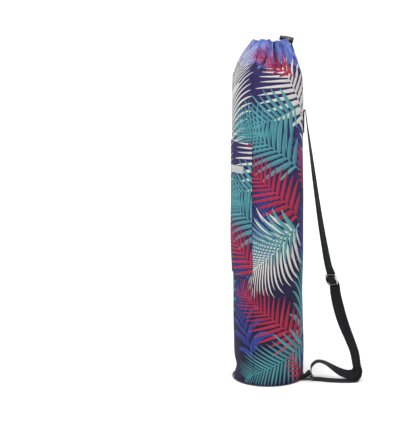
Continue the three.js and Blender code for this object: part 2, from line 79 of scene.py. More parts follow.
# %% [markdown]
# Everything is made of a few kinds of shape, so the helpers are few: one makes an object from
# corners and faces, one joins rows of points into a skin, and one hangs a finished piece on its
# body. Writing the meshes in code keeps each fold where the measured table puts it.

# %% Helpers for meshes
def make_object(name, points, faces, material=None, places=None, smooth=True):
    mesh = bpy.data.meshes.new(name)
    mesh.from_pydata([tuple(point) for point in points], [], faces)
    if places is not None:
        layer = mesh.uv_layers.new(name="cloth")
        places = np.asarray(places, dtype=np.float32)
        if len(places) != len(mesh.loops):
            corners = np.empty(len(mesh.loops), dtype=np.int32)
            mesh.loops.foreach_get("vertex_index", corners)
            places = places[corners]
        layer.data.foreach_set("uv", places.ravel())
    mesh.polygons.foreach_set("use_smooth", [smooth] * len(mesh.polygons))
    thing = bpy.data.objects.new(name, mesh)
    bpy.context.scene.collection.objects.link(thing)
    if material is not None:
        mesh.materials.append(material)
    return thing


def skin_faces(rows, columns, close_rows=False, close_columns=False, start=0):
    faces = []
    for row in range(rows if close_rows else rows - 1):
        low = start + row * columns
        high = start + (row + 1) % rows * columns
        for column in range(columns if close_columns else columns - 1):
            beside = (column + 1) % columns
            faces.append((low + column, low + beside, high + beside, high + column))
    return faces


def rod_faces(rows, sides, start=0):
    faces = skin_faces(rows, sides, close_columns=True, start=start)
    last = start + (rows - 1) * sides
    faces.append(tuple(reversed(range(start, start + sides))))
    faces.append(tuple(range(last, last + sides)))
    return faces


def circle_turns(count):
    return np.linspace(0, 2 * np.pi, count, endpoint=False)


def run_along(path):
    return np.concatenate([[0], np.cumsum(np.linalg.norm(np.diff(path, axis=0), axis=1))])


def middle_and_half(node):
    low, high = (Vector(corner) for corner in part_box(node))
    return (low + high) / 2, (high - low) / 2


def hang_on(thing, body, slot_name, *nodes):
    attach(thing, body)
    if nodes:
        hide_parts(*nodes)
    return thing


BAG = "bag"
BUTTON = "lock_button"
print("helpers ready")

# %% [markdown]
# A material is a short recipe of nodes. Sums on values are written with one small helper, so a
# recipe reads like arithmetic. Weave, ribs and grain are height patterns that go to the bump.

# %% Helpers for materials
def join(tree, socket, value):
    if isinstance(value, (int, float, tuple)):
        socket.default_value = value
    else:
        tree.links.new(value, socket)


def calculate(tree, operation, *values):
    node = tree.nodes.new("ShaderNodeMath")
    node.operation = operation
    for socket, value in zip(node.inputs, values):
        join(tree, socket, value)
    return node.outputs[0]


def blend_colours(tree, share, first, second):
    node = tree.nodes.new("ShaderNodeMix")
    node.data_type = "RGBA"
    join(tree, node.inputs[0], share)
    join(tree, node.inputs[6], first)
    join(tree, node.inputs[7], second)
    return node.outputs[2]


def make_noise(tree, place, scale, detail=2.0, roughness=0.5):
    node = tree.nodes.new("ShaderNodeTexNoise")
    node.inputs["Scale"].default_value = scale
    node.inputs["Detail"].default_value = detail
    node.inputs["Roughness"].default_value = roughness
    join(tree, node.inputs["Vector"], place)
    return node.outputs["Fac"]


def make_bump(tree, height, strength, distance):
    node = tree.nodes.new("ShaderNodeBump")
    node.inputs["Strength"].default_value = strength
    node.inputs["Distance"].default_value = distance
    join(tree, node.inputs["Height"], height)
    return node.outputs["Normal"]


def start_material(name):
    material = bpy.data.materials.new(name)
    material.use_nodes = True
    tree = material.node_tree
    return material, tree, tree.nodes["Principled BSDF"]


def dress(tree, surface, colour, bump, roughness, sheen=0.0, specular=0.5):
    height, strength, distance = bump
    join(tree, surface.inputs["Base Color"], colour)
    join(tree, surface.inputs["Normal"], make_bump(tree, height, strength, distance))
    join(tree, surface.inputs["Roughness"], roughness)
    surface.inputs["Sheen Weight"].default_value = sheen
    surface.inputs["Specular IOR Level"].default_value = specular


def split_place(tree, place):
    parts = tree.nodes.new("ShaderNodeSeparateXYZ")
    tree.links.new(place, parts.inputs[0])
    return parts.outputs[0], parts.outputs[1]


def darker(colour, share):
    return tuple(part * share for part in colour[:3]) + (1.0,)


def cloth_place(tree, shift=(0.0, 0.0)):
    flat = tree.nodes.new("ShaderNodeUVMap")
    flat.uv_map = "cloth"
    move = tree.nodes.new("ShaderNodeVectorMath")
    move.operation = "ADD"
    tree.links.new(flat.outputs["UV"], move.inputs[0])
    move.inputs[1].default_value = (shift[0], shift[1], 0.0)
    return move.outputs["Vector"]


def object_place(tree):
    return tree.nodes.new("ShaderNodeTexCoord").outputs["Object"]


print("material helpers ready")

# %% [markdown]
# The drawcord's two tails are limp round cord, 3.5 mm thick. Each leaves the hem at the rim,
# runs through the lock from front to back, and hangs down behind the shoulder of the bag to a
# knot. A cord is a tube along one smooth curve: the same few points as its solid, joined by a
# curve that passes through every point, so that the finished cord lies where its solid lies.

# %% Curves through points
def blend_between(t, first, leave, second, arrive):
    return (
        (2 * t ** 3 - 3 * t ** 2 + 1) * first + (t ** 3 - 2 * t ** 2 + t) * leave
        + (3 * t ** 2 - 2 * t ** 3) * second + (t ** 3 - t ** 2) * arrive
    )


def smooth_path(points, steps_each):
    spots = np.asarray(points, dtype=float)
    padded = np.vstack([2 * spots[0] - spots[1], spots, 2 * spots[-1] - spots[-2]])
    path = []
    for index in range(1, len(padded) - 2):
        p0, p1, p2, p3 = padded[index - 1:index + 3]
        d0, d1, d2 = (np.linalg.norm(b - a) ** 0.5 for a, b in ((p0, p1), (p1, p2), (p2, p3)))
        leave = ((p1 - p0) / d0 - (p2 - p0) / (d0 + d1) + (p2 - p1) / d1) * d1
        arrive = ((p2 - p1) / d1 - (p3 - p1) / (d1 + d2) + (p3 - p2) / d2) * d1
        path += [blend_between(step / steps_each, p1, leave, p2, arrive) for step in range(steps_each)]
    path.append(padded[-2])
    return np.array(path)


def path_frames(path):
    along = np.gradient(path, axis=0)
    along /= np.linalg.norm(along, axis=1)[:, None]
    side = np.cross(along[0], (0.0, 0.0, 1.0))
    sides = []
    for direction in along:
        side = side - direction * np.dot(side, direction)
        side = side / np.linalg.norm(side)
        sides.append(side)
    sides = np.array(sides)
    return sides, np.cross(along, sides)


def tube(name, path, radius, sides, material):
    across, upward = path_frames(path)
    turns = circle_turns(sides)
    points = np.vstack([
        centre + radius * (np.cos(turns)[:, None] * a + np.sin(turns)[:, None] * b)
        for centre, a, b in zip(path, across, upward)
    ])
    places = [(turn * radius, distance) for distance in run_along(path) for turn in turns]
    return make_object(name, points, rod_faces(len(path), sides), material, places)


# %% [markdown]
# The cord is braided, so its surface is two sets of strands that cross. Two diagonal waves on
# the cord's own length and girth give the ridges, and painted shade darkens the colour between them.

# %% Cord finish
def make_braid(name, colour, strand):
    material, tree, surface = start_material(name)
    around, along = split_place(tree, cloth_place(tree))
    turn = 2 * math.pi / strand
    first, second = (
        calculate(tree, "SINE", calculate(tree, "MULTIPLY", calculate(tree, way, around, along), turn))
        for way in ("ADD", "SUBTRACT")
    )
    ridge = calculate(tree, "MAXIMUM", first, second)
    # painted shade: the colour is darker in the grooves between the strands
    shade = calculate(tree, "MULTIPLY_ADD", ridge, 0.35, 0.65)
    braid_colour = blend_colours(tree, shade, darker(colour, 0.4), colour)
    dress(tree, surface, braid_colour, (ridge, 0.6, 0.3 * MM), roughness=0.75, sheen=0.05)
    return material


cord_finish = make_braid("cord_braid", (0.010, 0.010, 0.012, 1.0), strand=1.1 * MM)

# %% [markdown]
# The route's points are the ones that the solid follows. The knot at the end is the tail itself,
# turned over once: a short closed loop of the same cord that goes round twice, drawn small.

# %% The drawcord's tails and knots
cord_diameter = 3.5 * MM
tail_routes = {
    "left": [
        (34.6, 4.4, 702.6), (36.4, 8.4, 707.2), (37.9, 12.4, 710.6), (38.7, 16.4, 711.6),
        (38.75, 20.0, 711.6), (38.75, 25.0, 711.6), (38.75, 30.0, 711.6), (39.1, 34.8, 710.4),
        (40.0, 38.6, 706.6), (41.4, 40.8, 700.6), (42.9, 41.8, 693.2), (44.5, 42.6, 685.0),
        (46.3, 43.6, 676.0), (48.2, 44.8, 666.4), (50.1, 46.4, 656.2), (51.7, 48.2, 645.0),
        (53.5, 50.0, 632.0), (54.6, 51.0, 618.0), (54.8, 51.2, 604.0), (55.2, 51.6, 590.0),
        (56.0, 52.3, 576.0), (56.8, 53.0, 562.0),
    ],
    "right": [
        (38.6, 2.6, 702.8), (40.2, 7.0, 706.8), (41.6, 11.6, 709.8), (42.4, 16.2, 710.7),
        (42.45, 20.0, 710.7), (42.45, 25.0, 710.7), (42.5, 30.0, 710.6), (43.4, 34.4, 709.2),
        (45.4, 37.4, 705.2), (48.0, 38.2, 699.2), (50.6, 37.6, 692.0), (53.0, 36.6, 684.0),
        (55.4, 35.8, 675.0), (57.6, 35.4, 665.0), (59.4, 35.6, 654.4), (61.0, 36.4, 643.0),
        (62.9, 37.4, 630.0), (64.0, 38.2, 616.0), (64.2, 38.4, 602.0), (64.5, 38.6, 588.0),
        (65.4, 39.1, 573.0), (66.5, 39.8, 556.0),
    ],
}


knot_steps = 72
knot_middle_share, knot_swing_share = 0.62, 0.34
knot_depth_share, knot_height_share = 0.8, 0.9


def make_knot(name, node):
    middle, size = middle_and_half(node)
    turns = circle_turns(knot_steps)
    strand = cord_diameter / 2
    ring = (size.x - strand) * (knot_middle_share + knot_swing_share * np.cos(3 * turns))
    path = np.array(middle) + np.stack([
        ring * np.cos(2 * turns),
        (size.y - strand) * knot_depth_share * np.sin(3 * turns),
        (size.z - strand) * knot_height_share * np.sin(2 * turns),
    ], axis=1)
    across, upward = path_frames(np.vstack([path, path[:1]]))
    spokes = circle_turns(12)
    points, places = [], []
    for index, centre in enumerate(path):
        for spoke in spokes:
            off = math.cos(spoke) * across[index] + math.sin(spoke) * upward[index]
            points.append(centre + strand * off)
            places.append((spoke * strand, index * 0.6 * MM))
    faces = skin_faces(len(path), len(spokes), close_rows=True, close_columns=True)
    return make_object(name, points, faces, cord_finish, places)


for side, route in tail_routes.items():
    path = smooth_path(np.array(route) * MM, 6)
    tail = tube(f"drawcord_{side}", path, cord_diameter / 2, 12, cord_finish)
    hang_on(tail, BAG, "cord", f"drawcord_tail_{side}")
    knot = make_knot(f"knot_{side}", f"drawcord_knot_{side}")
    hang_on(knot, BAG, "cord", f"drawcord_knot_{side}")
    print("tail", side, "is", round(run_along(path)[-1] * 1000), "mm long")

# %% [markdown]
# The cord lock is a moulded barrel with a sprung button in it. Both are turned shapes with rounded
# edges, crossed by a slot for the two cords. Pushing the button lines the slots up and frees the
# cord. The spring is hidden and left out. The barrel stays with the bag, the button is a body of
# its own and slides.

# %% Cord lock
def make_plastic(name, colour, roughness):
    material, tree, surface = start_material(name)
    grain = make_noise(tree, object_place(tree), 1500.0, 2.0)
    uneven = calculate(tree, "MULTIPLY_ADD", grain, 0.12, roughness)
    dress(tree, surface, colour, (grain, 0.12, 0.2 * MM), uneven)
    return material


black_plastic = make_plastic("black_plastic", (0.012, 0.012, 0.013, 1.0), 0.36)

lock_centre = Vector((40.6 * MM, 23.5 * MM, 711.2 * MM))
lock_tilt = math.radians(13)
lock_place = Matrix.Translation(lock_centre) @ Matrix.Rotation(lock_tilt, 4, "Y")
hole_place = 9 * MM
lock_radius, lock_length, lock_end_wall = 6.2 * MM, 20 * MM, 1.6 * MM
button_radius, button_shown, button_travel = 4.8 * MM, 9 * MM, 3.5 * MM
button_gap = 0.2 * MM
cords_half_width = cord_diameter + button_gap + 0.3 * MM
beyond_cords = 1.3 * MM
plunger_length = hole_place + cords_half_width + beyond_cords
slot_height = cord_diameter + 4 * button_gap


def corner_arc(x, reach, radius, begin, end):
    turns = np.radians(np.linspace(begin, end, 5))
    return [(x + radius * math.cos(turn), reach + radius * math.sin(turn)) for turn in turns]


def cut_slot(thing, begin, end, depth):
    corners = [
        (x, y, z)
        for x in (begin, end)
        for y in (-depth / 2, depth / 2)
        for z in (-slot_height / 2, slot_height / 2)
    ]
    sides = [(0, 1, 3, 2), (4, 6, 7, 5), (0, 4, 5, 1), (2, 3, 7, 6), (0, 2, 6, 4), (1, 5, 7, 3)]
    cutter = make_object("slot_cutter", corners, sides, smooth=False)
    cut = thing.modifiers.new("slot", "BOOLEAN")
    cut.operation = "DIFFERENCE"
    cut.object = cutter
    cut.solver = "EXACT"
    bpy.context.view_layer.update()
    depsgraph = bpy.context.evaluated_depsgraph_get()
    finished = bpy.data.meshes.new_from_object(thing.evaluated_get(depsgraph))
    thing.modifiers.clear()
    thing.data = finished
    bpy.data.objects.remove(cutter)
    finished.transform(lock_place)
    finished.update()


def turn_and_slot(name, profile, slot_begin):
    turns = circle_turns(48)
    points = [
        (x - hole_place, reach * math.cos(turn), reach * math.sin(turn))
        for x, reach in profile
        for turn in turns
    ]
    thing = make_object(name, points, rod_faces(len(profile), len(turns)), black_plastic)
    cut_slot(thing, slot_begin, cords_half_width, lock_radius * 4)
    thing.data.polygons.foreach_set("use_smooth", [True] * len(thing.data.polygons))
    thing.data.set_sharp_from_angle(angle=math.radians(35))
    return thing


lip, edge = 0.5 * MM, 1.1 * MM
axis_gap = 0.3 * MM
bore = button_radius + button_gap
bore_end = lock_length - lock_end_wall
barrel_profile = [(bore_end, axis_gap), (bore_end, bore), (0.0, bore)]
barrel_profile += corner_arc(lip, lock_radius - lip, lip, 180, 90)
barrel_profile += corner_arc(lock_length - edge, lock_radius - edge, edge, 90, 0)
barrel_profile += [(lock_length, axis_gap)]
barrel = turn_and_slot("lock_barrel", barrel_profile, -cords_half_width)
hang_on(barrel, BAG, "hard_plastic", "cord_lock_barrel")

dome = 1.4 * MM
button_profile = [(-button_shown, axis_gap)]
button_profile += corner_arc(-button_shown + dome, button_radius - dome, dome, 180, 90)
button_profile += [(plunger_length, button_radius), (plunger_length, axis_gap)]
button = turn_and_slot("lock_plunger", button_profile, -cords_half_width - button_travel)
hang_on(button, BUTTON, "hard_plastic", "cord_lock_button")
print("lock", round(lock_length * 1000), "mm long, button travel", button_travel * 1000, "mm")

# %% [markdown]
# Both cords are limp and hang free from the lock to their knots.

# %% [markdown]
# The bag is one piece of printed canvas, rolled to a tube, closed by a seam and drawn in at the top
# by its cord. Its shape is read from the solid's own tables. The first gives the radius going
# up, the second gives the gathers, where the cloth stands out between two creases, and the third
# gives the dents. A smooth curve through each column takes the corners out.

# %% The measured tables of the cloth
bag_radius = 74.4 * MM
bag_height = 711 * MM
cloth_wall = 1.5 * MM

ring_table = np.array([
    # height, radius, shift, crease, drop
    (0.0035, 0.990, 0.000, 0.000, 0.00),
    (0.018, 1.003, 0.001, 0.000, 0.00),
    (0.037, 1.004, 0.003, 0.000, 0.00),
    (0.056, 1.005, 0.006, 0.000, 0.00),
    (0.092, 1.006, 0.007, 0.000, 0.00),
    (0.166, 1.002, -0.002, 0.000, 0.00),
    (0.277, 0.990, 0.002, 0.000, 0.00),
    (0.404, 1.006, -0.020, 0.000, 0.00),
    (0.560, 1.000, -0.022, 0.000, 0.00),
    (0.706, 0.992, -0.022, 0.000, 0.00),
    (0.830, 0.990, -0.022, 0.000, 0.00),
    (0.878, 0.984, -0.022, 0.020, 0.00),
    (0.904, 0.966, -0.020, 0.055, 0.00),
    (0.923, 0.912, -0.014, 0.125, 0.00),
    (0.940, 0.852, -0.008, 0.190, 0.00),
    (0.956, 0.782, 0.000, 0.245, 0.01),
    (0.970, 0.700, 0.010, 0.280, 0.03),
    (0.982, 0.615, 0.020, 0.290, 0.05),
    (0.992, 0.545, 0.030, 0.280, 0.07),
    (1.000, 0.480, 0.035, 0.270, 0.08),
])
gather_table = np.array([
    # at, swing, crease, top
    (-148, 0, 0.90, 0.000),
    (-112, 2, 0.80, -0.002),
    (-78, 2, 0.45, 0.003),
    (-57, 3, 0.40, 0.000),
    (-32, 8, 1.35, 0.004),
    (3, 7, 1.05, -0.001),
    (31, -6, 0.95, 0.000),
    (72, 2, 1.25, 0.004),
    (148, 4, 0.95, -0.004),
    (180, 2, 0.85, 0.000),
])
dent_table = np.array([
    # at, width, height, reach, depth
    (-92, 55, 0.036, 0.026, 0.085),
    (-130, 40, 0.070, 0.030, 0.030),
    (92, 50, 0.280, 0.050, 0.012),
    (-8, 30, 0.830, 0.050, 0.014),
    (50, 36, 0.845, 0.040, 0.016),
])


def read_column(table, column, at):
    places = table[:, 0]
    values = table[:, column]
    slopes = np.gradient(values, places)
    at = np.clip(at, places[0], places[-1])
    index = np.clip(np.searchsorted(places, at) - 1, 0, len(places) - 2)
    step = places[index + 1] - places[index]
    return blend_between(
        (at - places[index]) / step,
        values[index], step * slopes[index], values[index + 1], step * slopes[index + 1],
    )


def rise(low, high, at):
    t = np.clip((at - low) / (high - low), 0, 1)
    return t * t * (3 - 2 * t)


print("rings", len(ring_table), "gathers", len(gather_table), "dents", len(dent_table))

# %% [markdown]
# Between the measured folds real canvas is never flat. Small waves run along the cloth, pulled
# into upright folds near the gathers, and the roll inside shows as slow swells. They are sums of
# a few sine waves of whole numbers around the bag, so that they meet at the back, and they are
# about a millimetre on the tube and a few millimetres in the neck. The biggest gather leans over
# its neighbour: its side is pushed sideways past the valley, so that it overhangs.

# %% The cloth's surface
fold_ridge, fold_swing, fold_span, fold_lean = -33.0, 8.0, 24.0, 24.0
valley_round, valley_narrow = 0.05, 1.4
full_drop = 0.08


def gathers_at(angle, pull):
    valley = np.zeros_like(angle)
    top = np.zeros_like(angle)
    following = np.roll(gather_table, -1, axis=0)
    for row, after in zip(gather_table, following):
        begin = row[0] + row[1] * pull
        end = after[0] + after[1] * pull
        along = np.mod(angle - begin, 360.0) / np.mod(end - begin, 360.0)
        inside = along < 1.0
        depth = (1 - np.sqrt((1 - 2 * along) ** 2 + valley_round ** 2)) / (1 - valley_round)
        depth = np.clip(depth, 0, 1) ** valley_narrow * row[2]
        tops = row[3] * (1 - along) + after[3] * along
        valley = np.where(inside, depth, valley)
        top = np.where(inside, tops, top)
    return valley, top


def turn_from(angle, at):
    return np.mod(angle - at + 180.0, 360.0) - 180.0


def dents_at(angle, height):
    total = np.zeros_like(angle)
    for at, width, level, reach, depth in dent_table:
        turn = turn_from(angle, at)
        total += depth * np.exp(-2 * (turn / width) ** 2) * np.exp(-((height - level) / reach) ** 2)
    return total


def waves_at(angle, height):
    turn = np.radians(angle)
    slow = (
        0.45 * np.sin(2 * turn + 9 * height + 0.6)
        + 0.35 * np.sin(5 * turn - 17 * height + 1.9)
        + 0.30 * np.sin(3 * turn + 27 * height)
        + 0.20 * np.sin(11 * turn + 8 * height + 4.0)
    )
    folds = (
        1.9 * np.abs(np.sin(13 * turn + 1.6 * np.sin(2 * turn) + 3 * height))
        + 1.3 * np.abs(np.sin(21 * turn + 1.2 * np.sin(3 * turn) + 1.0))
        + 0.8 * np.abs(np.sin(34 * turn + 1.0 * np.sin(5 * turn + 2.0)))
        - 2.6
    )
    neck = rise(0.86, 0.965, height)
    off_strap_turn = turn_from(angle, 90) / 22
    off_strap_height = (height - 0.765) / 0.055
    under_strap = np.exp(-off_strap_turn ** 4) * np.exp(-off_strap_height ** 4)
    calm = rise(0.004, 0.05, height) * (1 - under_strap)
    return ((slow - 0.3) * (1 - 0.5 * neck) + folds * neck) * calm


def leaned(angle, height, pull):
    ridge = fold_ridge + fold_swing * pull
    along = np.clip((angle - ridge) / fold_span, 0, 1)
    lean = fold_lean * rise(0.925, 0.985, height)
    return angle + lean * np.sin(np.pi * along) ** 2


def cloth_points(angle, height, outward=0.0):
    angle = np.asarray(angle, dtype=float)
    height = np.asarray(height, dtype=float) + np.zeros_like(angle)
    pull = rise(0.88, 1.0, height)
    bent_valley, _ = gathers_at(angle, pull)
    end_valley, top = gathers_at(angle, np.ones_like(pull))
    radius = read_column(ring_table, 1, height)
    crease = read_column(ring_table, 3, height)
    drop = read_column(ring_table, 4, height)
    shift = read_column(ring_table, 2, height)
    reach = bag_radius * (radius - crease * bent_valley - dents_at(angle, height))
    reach = reach + waves_at(angle, height) * MM + outward
    turn = np.radians(leaned(angle, height, pull))
    fall = drop * bag_radius * end_valley - bag_height * top * (drop / full_drop)
    return np.stack([
        np.sin(turn) * reach + bag_radius * shift,
        -np.cos(turn) * reach,
        height * bag_height - fall,
    ], axis=-1)


# %% [markdown]
# The print belongs to the flat cloth, so each corner also carries its place on it: how far round,
# and how far up along the cloth. The second is longer than the height where the shoulder turns in.
# The tube of cloth is skinned outside, turned over a rounded hem at the mouth, and skinned again
# inside, so that looking into the mouth shows real thickness.

# %% The tube of cloth
height_samples = np.linspace(0, 1, 1500)
profile_radius = read_column(ring_table, 1, height_samples) * bag_radius
profile_steps = np.hypot(np.diff(profile_radius), np.diff(height_samples) * bag_height)
profile_run = np.concatenate([[0], np.cumsum(profile_steps)])


def cloth_up(height):
    return np.interp(height, height_samples, profile_run)


outer_heights = np.concatenate([
    np.linspace(0.0035, 0.84, 118, endpoint=False),
    np.linspace(0.84, 1.0, 84),
])
inner_heights = np.concatenate([
    np.linspace(1.0, 0.86, 40),
    np.linspace(0.84, 0.006, 22),
])
body_columns = 300
column_angles = np.linspace(-180, 180, body_columns, endpoint=False)
rim_turns = np.linspace(0, math.pi, 6)[1:-1]


def make_body():
    rows = []
    places = []
    for height in outer_heights:
        rows.append(cloth_points(column_angles, height))
        places.append(height)
    for turn in rim_turns:
        inset = -cloth_wall * (1 - math.cos(turn)) / 2
        row = cloth_points(column_angles, 1.0, inset)
        row[:, 2] += cloth_wall * 0.5 * math.sin(turn)
        rows.append(row)
        places.append(1.0)
    for height in inner_heights:
        rows.append(cloth_points(column_angles, height, -cloth_wall))
        places.append(height)
    points = np.vstack(rows)
    faces = skin_faces(len(rows), body_columns, close_columns=True)
    return points, faces, places


body_points, body_faces, body_row_heights = make_body()
arc = np.radians(1) * bag_radius
row_of_face, column_of_face = np.divmod(np.arange(len(body_faces)), body_columns)
row_up = cloth_up(np.array(body_row_heights))
left = column_angles[column_of_face] * arc
right = left + 360.0 / body_columns * arc
low, high = row_up[row_of_face], row_up[row_of_face + 1]
corner_places = np.stack([
    np.stack([across, upward], axis=1)
    for across, upward in ((left, low), (right, low), (right, high), (left, high))
], axis=1).reshape(-1, 2)
body = make_object("bag_cloth", body_points, body_faces, places=corner_places)
hang_on(body, BAG, "printed_cloth", "bag_body")
print("cloth faces", len(body_faces), "cloth length up the tube", round(float(row_up.max()) * 1000), "mm")

# %% [markdown]
# The cloth is printed with palm fronds, a common furnishing pattern, laid over a dark violet
# ground. One frond is a spine with slanting leaflets on both sides. In the recipe, a point on
# the cloth is turned into the frond's own directions: how far along the spine and how far off it.
# Stepping back along the slant tells which leaflet the point is on and how far out, and a
# leaflet's half width swells and narrows along it. A random reach per leaflet keeps it natural.

# %% One printed frond
print_repeat = math.pi * bag_radius
root_lean = 0.38
side_luck = 31.7
tip_taper = 0.7
root_reach, reach_growth = 0.55, 4.0
least_luck, luck_range = 0.84, 0.28
root_width, width_growth = 0.22, 1.2
widest_at_root, narrowing = 0.44, 0.15
leaf_point = 0.7
tone_across, tone_luck = 0.75, 0.35
stem_half_width, stem_before, stem_share = 1.1 * MM, 12 * MM, 0.97


def paint_frond(tree, split, under, frond):
    base_u, base_v, angle, length, reach, leaves, slant, skew, bend, dark, light = frond
    length, reach = length * MM, reach * MM
    along_u, along_v = math.cos(math.radians(angle)), math.sin(math.radians(angle))

    get = partial(calculate, tree)
    off_base = along_u * length / 2
    across = get("SUBTRACT", split[0], base_u * MM)
    across = get("WRAP", across, off_base + print_repeat / 2, off_base - print_repeat / 2)
    upward = get("SUBTRACT", split[1], base_v * MM)
    x = get("MULTIPLY_ADD", across, along_u, get("MULTIPLY", upward, along_v))
    y = get("MULTIPLY_ADD", upward, along_u, get("MULTIPLY", across, -along_v))
    y = get("MULTIPLY_ADD", get("MULTIPLY", x, x), -bend / length, y)
    off = get("ABSOLUTE", y)
    upper = get("GREATER_THAN", y, 0.0)
    set_back = get("MULTIPLY", off, get("MULTIPLY_ADD", upper, 2 * skew, 1 - skew))
    root = x
    for _ in range(2):
        lean = get("MULTIPLY_ADD", root, slant / length, root_lean * slant)
        root = get("MULTIPLY_ADD", get("MULTIPLY", set_back, lean), -1.0, x)
    share = get("DIVIDE", root, length)
    closer = get("MULTIPLY_ADD", share, leaves / 2, leaves / 2)
    count = get("MULTIPLY_ADD", share, closer, get("MULTIPLY", upper, 0.5))
    within = get("FRACT", count)
    chance = tree.nodes.new("ShaderNodeTexWhiteNoise")
    chance.noise_dimensions = "1D"
    number = get("ADD", get("FLOOR", count), angle)
    tree.links.new(get("MULTIPLY_ADD", upper, side_luck, number), chance.inputs["W"])
    luck = chance.outputs["Value"]
    taper = get("MULTIPLY_ADD", get("MULTIPLY", share, share), -tip_taper * reach, reach)
    swell = get("MINIMUM", get("MULTIPLY", share, reach_growth), 1 - root_reach)
    leaf_reach = get("MULTIPLY", taper, get("ADD", swell, root_reach))
    leaf_reach = get("MULTIPLY", leaf_reach, get("MULTIPLY_ADD", luck, luck_range, least_luck))
    leaf_reach = get("MULTIPLY", leaf_reach, get("MULTIPLY_ADD", upper, -2 * skew, 1 + skew))
    out = get("DIVIDE", off, leaf_reach)
    point = get("POWER", get("MAXIMUM", get("SUBTRACT", 1.0, out), 0.0), leaf_point)
    widest = get("MULTIPLY_ADD", share, -narrowing, widest_at_root)
    width = get("MINIMUM", get("MULTIPLY_ADD", out, width_growth, root_width), widest)
    aside = get("ABSOLUTE", get("SUBTRACT", within, 0.5))
    inside = get("MULTIPLY", get("GREATER_THAN", share, 0.0), get("LESS_THAN", share, 1.0))
    leaf = get("MULTIPLY", get("LESS_THAN", aside, get("MULTIPLY", point, width)), inside)
    after_foot = get("GREATER_THAN", x, -stem_before)
    on_stem = get("MULTIPLY", after_foot, get("LESS_THAN", x, length * stem_share))
    stem = get("MULTIPLY", get("LESS_THAN", off, stem_half_width), on_stem)
    tone = get("MULTIPLY_ADD", within, tone_across, get("MULTIPLY", luck, tone_luck))
    colour = blend_colours(tree, tone, dark, light)
    return blend_colours(tree, get("MAXIMUM", leaf, stem), under, colour)


ink_depth = 0.53


def from_screen(red, green, blue):
    def channel(value):
        value = value / 255.0
        return value / 12.92 if value <= 0.04045 else ((value + 0.055) / 1.055) ** 2.4
    return (channel(red), channel(green), channel(blue), 1.0)


def ink(red, green, blue):
    return darker(from_screen(red, green, blue), ink_depth)


GROUND = (ink(38, 27, 86), ink(56, 43, 110))
# painted shade: a darker ground colour that the print blends into towards the bottom of the cloth
PAINTED_SHADE_GROUND = (ink(14, 11, 48), ink(24, 20, 66))
SKY = (ink(56, 44, 138), ink(140, 168, 250))
sky_begins, sky_wander, sky_softness = 0.664, 0.08, 0.005
stroke_contrast, stroke_scale = 2.2, (210.0, 60.0, 1.0)
# painted shade: the height on the cloth where the darkening starts, and how far up it grows
painted_shade_below, painted_shade_over = 0.60, 0.45
BLUE = (ink(34, 40, 128), ink(62, 84, 176))
TEAL = (ink(34, 116, 138), ink(104, 196, 196))
CRIMSON = (ink(150, 14, 48), ink(226, 50, 84))
CREAM = (ink(226, 222, 212), ink(255, 255, 246))

# %% [markdown]
# The chart below is the print, bottom layer first. Each row puts one frond on the flat cloth: the
# place of its base, the way it points, its length, how far its leaflets reach, their number, how
# much they lean, how the two sides of the spine differ, and its bend. The print repeats once on its
# way round, so the back shows the same group as the front, and no frond is cut where they meet.

# %% The chart of fronds
frond_chart = [
    # across, up, angle, length, reach, leaves, slant, skew, bend, colour
    (92, 20, 84, 190, 42, 17, 1.2, 0.0, 0.05, BLUE),
    (90, 250, 80, 170, 46, 16, 1.2, 0.0, -0.05, BLUE),
    (92, 430, 84, 190, 46, 17, 1.2, 0.0, 0.0, BLUE),
    (-22, 262, 78, 150, 42, 14, 1.2, 0.0, 0.1, BLUE),
    (106, 410, 108, 90, 26, 10, 1.0, 0.0, 0.0, CRIMSON),
    (106, 210, 84, 120, 24, 12, 1.0, 0.0, 0.0, TEAL),
    (-114, 468, 80, 224, 62, 23, 1.7, 0.0, 0.0, CREAM),
    (100, 554, 118, 124, 95, 9, 0.5, 0.0, 0.1, CREAM),
    (66, 577, -160, 150, 66, 18, 0.7, 0.0, 0.0, TEAL),
    (67, 458, 143, 165, 74, 16, 1.1, 0.0, 0.05, TEAL),
    (62, 644, 158, 112, 32, 12, 1.5, 0.42, 0.0, CRIMSON),
    (71, 353, 134, 172, 60, 15, 0.9, 0.0, 0.05, CRIMSON),
    (69, 331, -140, 140, 90, 18, 1.0, 0.0, 0.0, CREAM),
    (69, 331, -162, 118, 60, 15, 1.0, 0.0, 0.0, TEAL),
    (86, 90, 82, 180, 50, 13, 1.7, 0.0, 0.0, TEAL),
    (-34, 62, 108, 150, 60, 9, 1.9, 0.0, 0.0, BLUE),
    (81, 82, 138, 187, 58, 17, 0.9, 0.0, 0.05, CRIMSON),
    (93, 84, -154, 162, 64, 19, 0.8, 0.0, 0.0, TEAL),
    (106, -34, 122, 110, 30, 8, 1.1, 0.0, 0.0, CRIMSON),
]


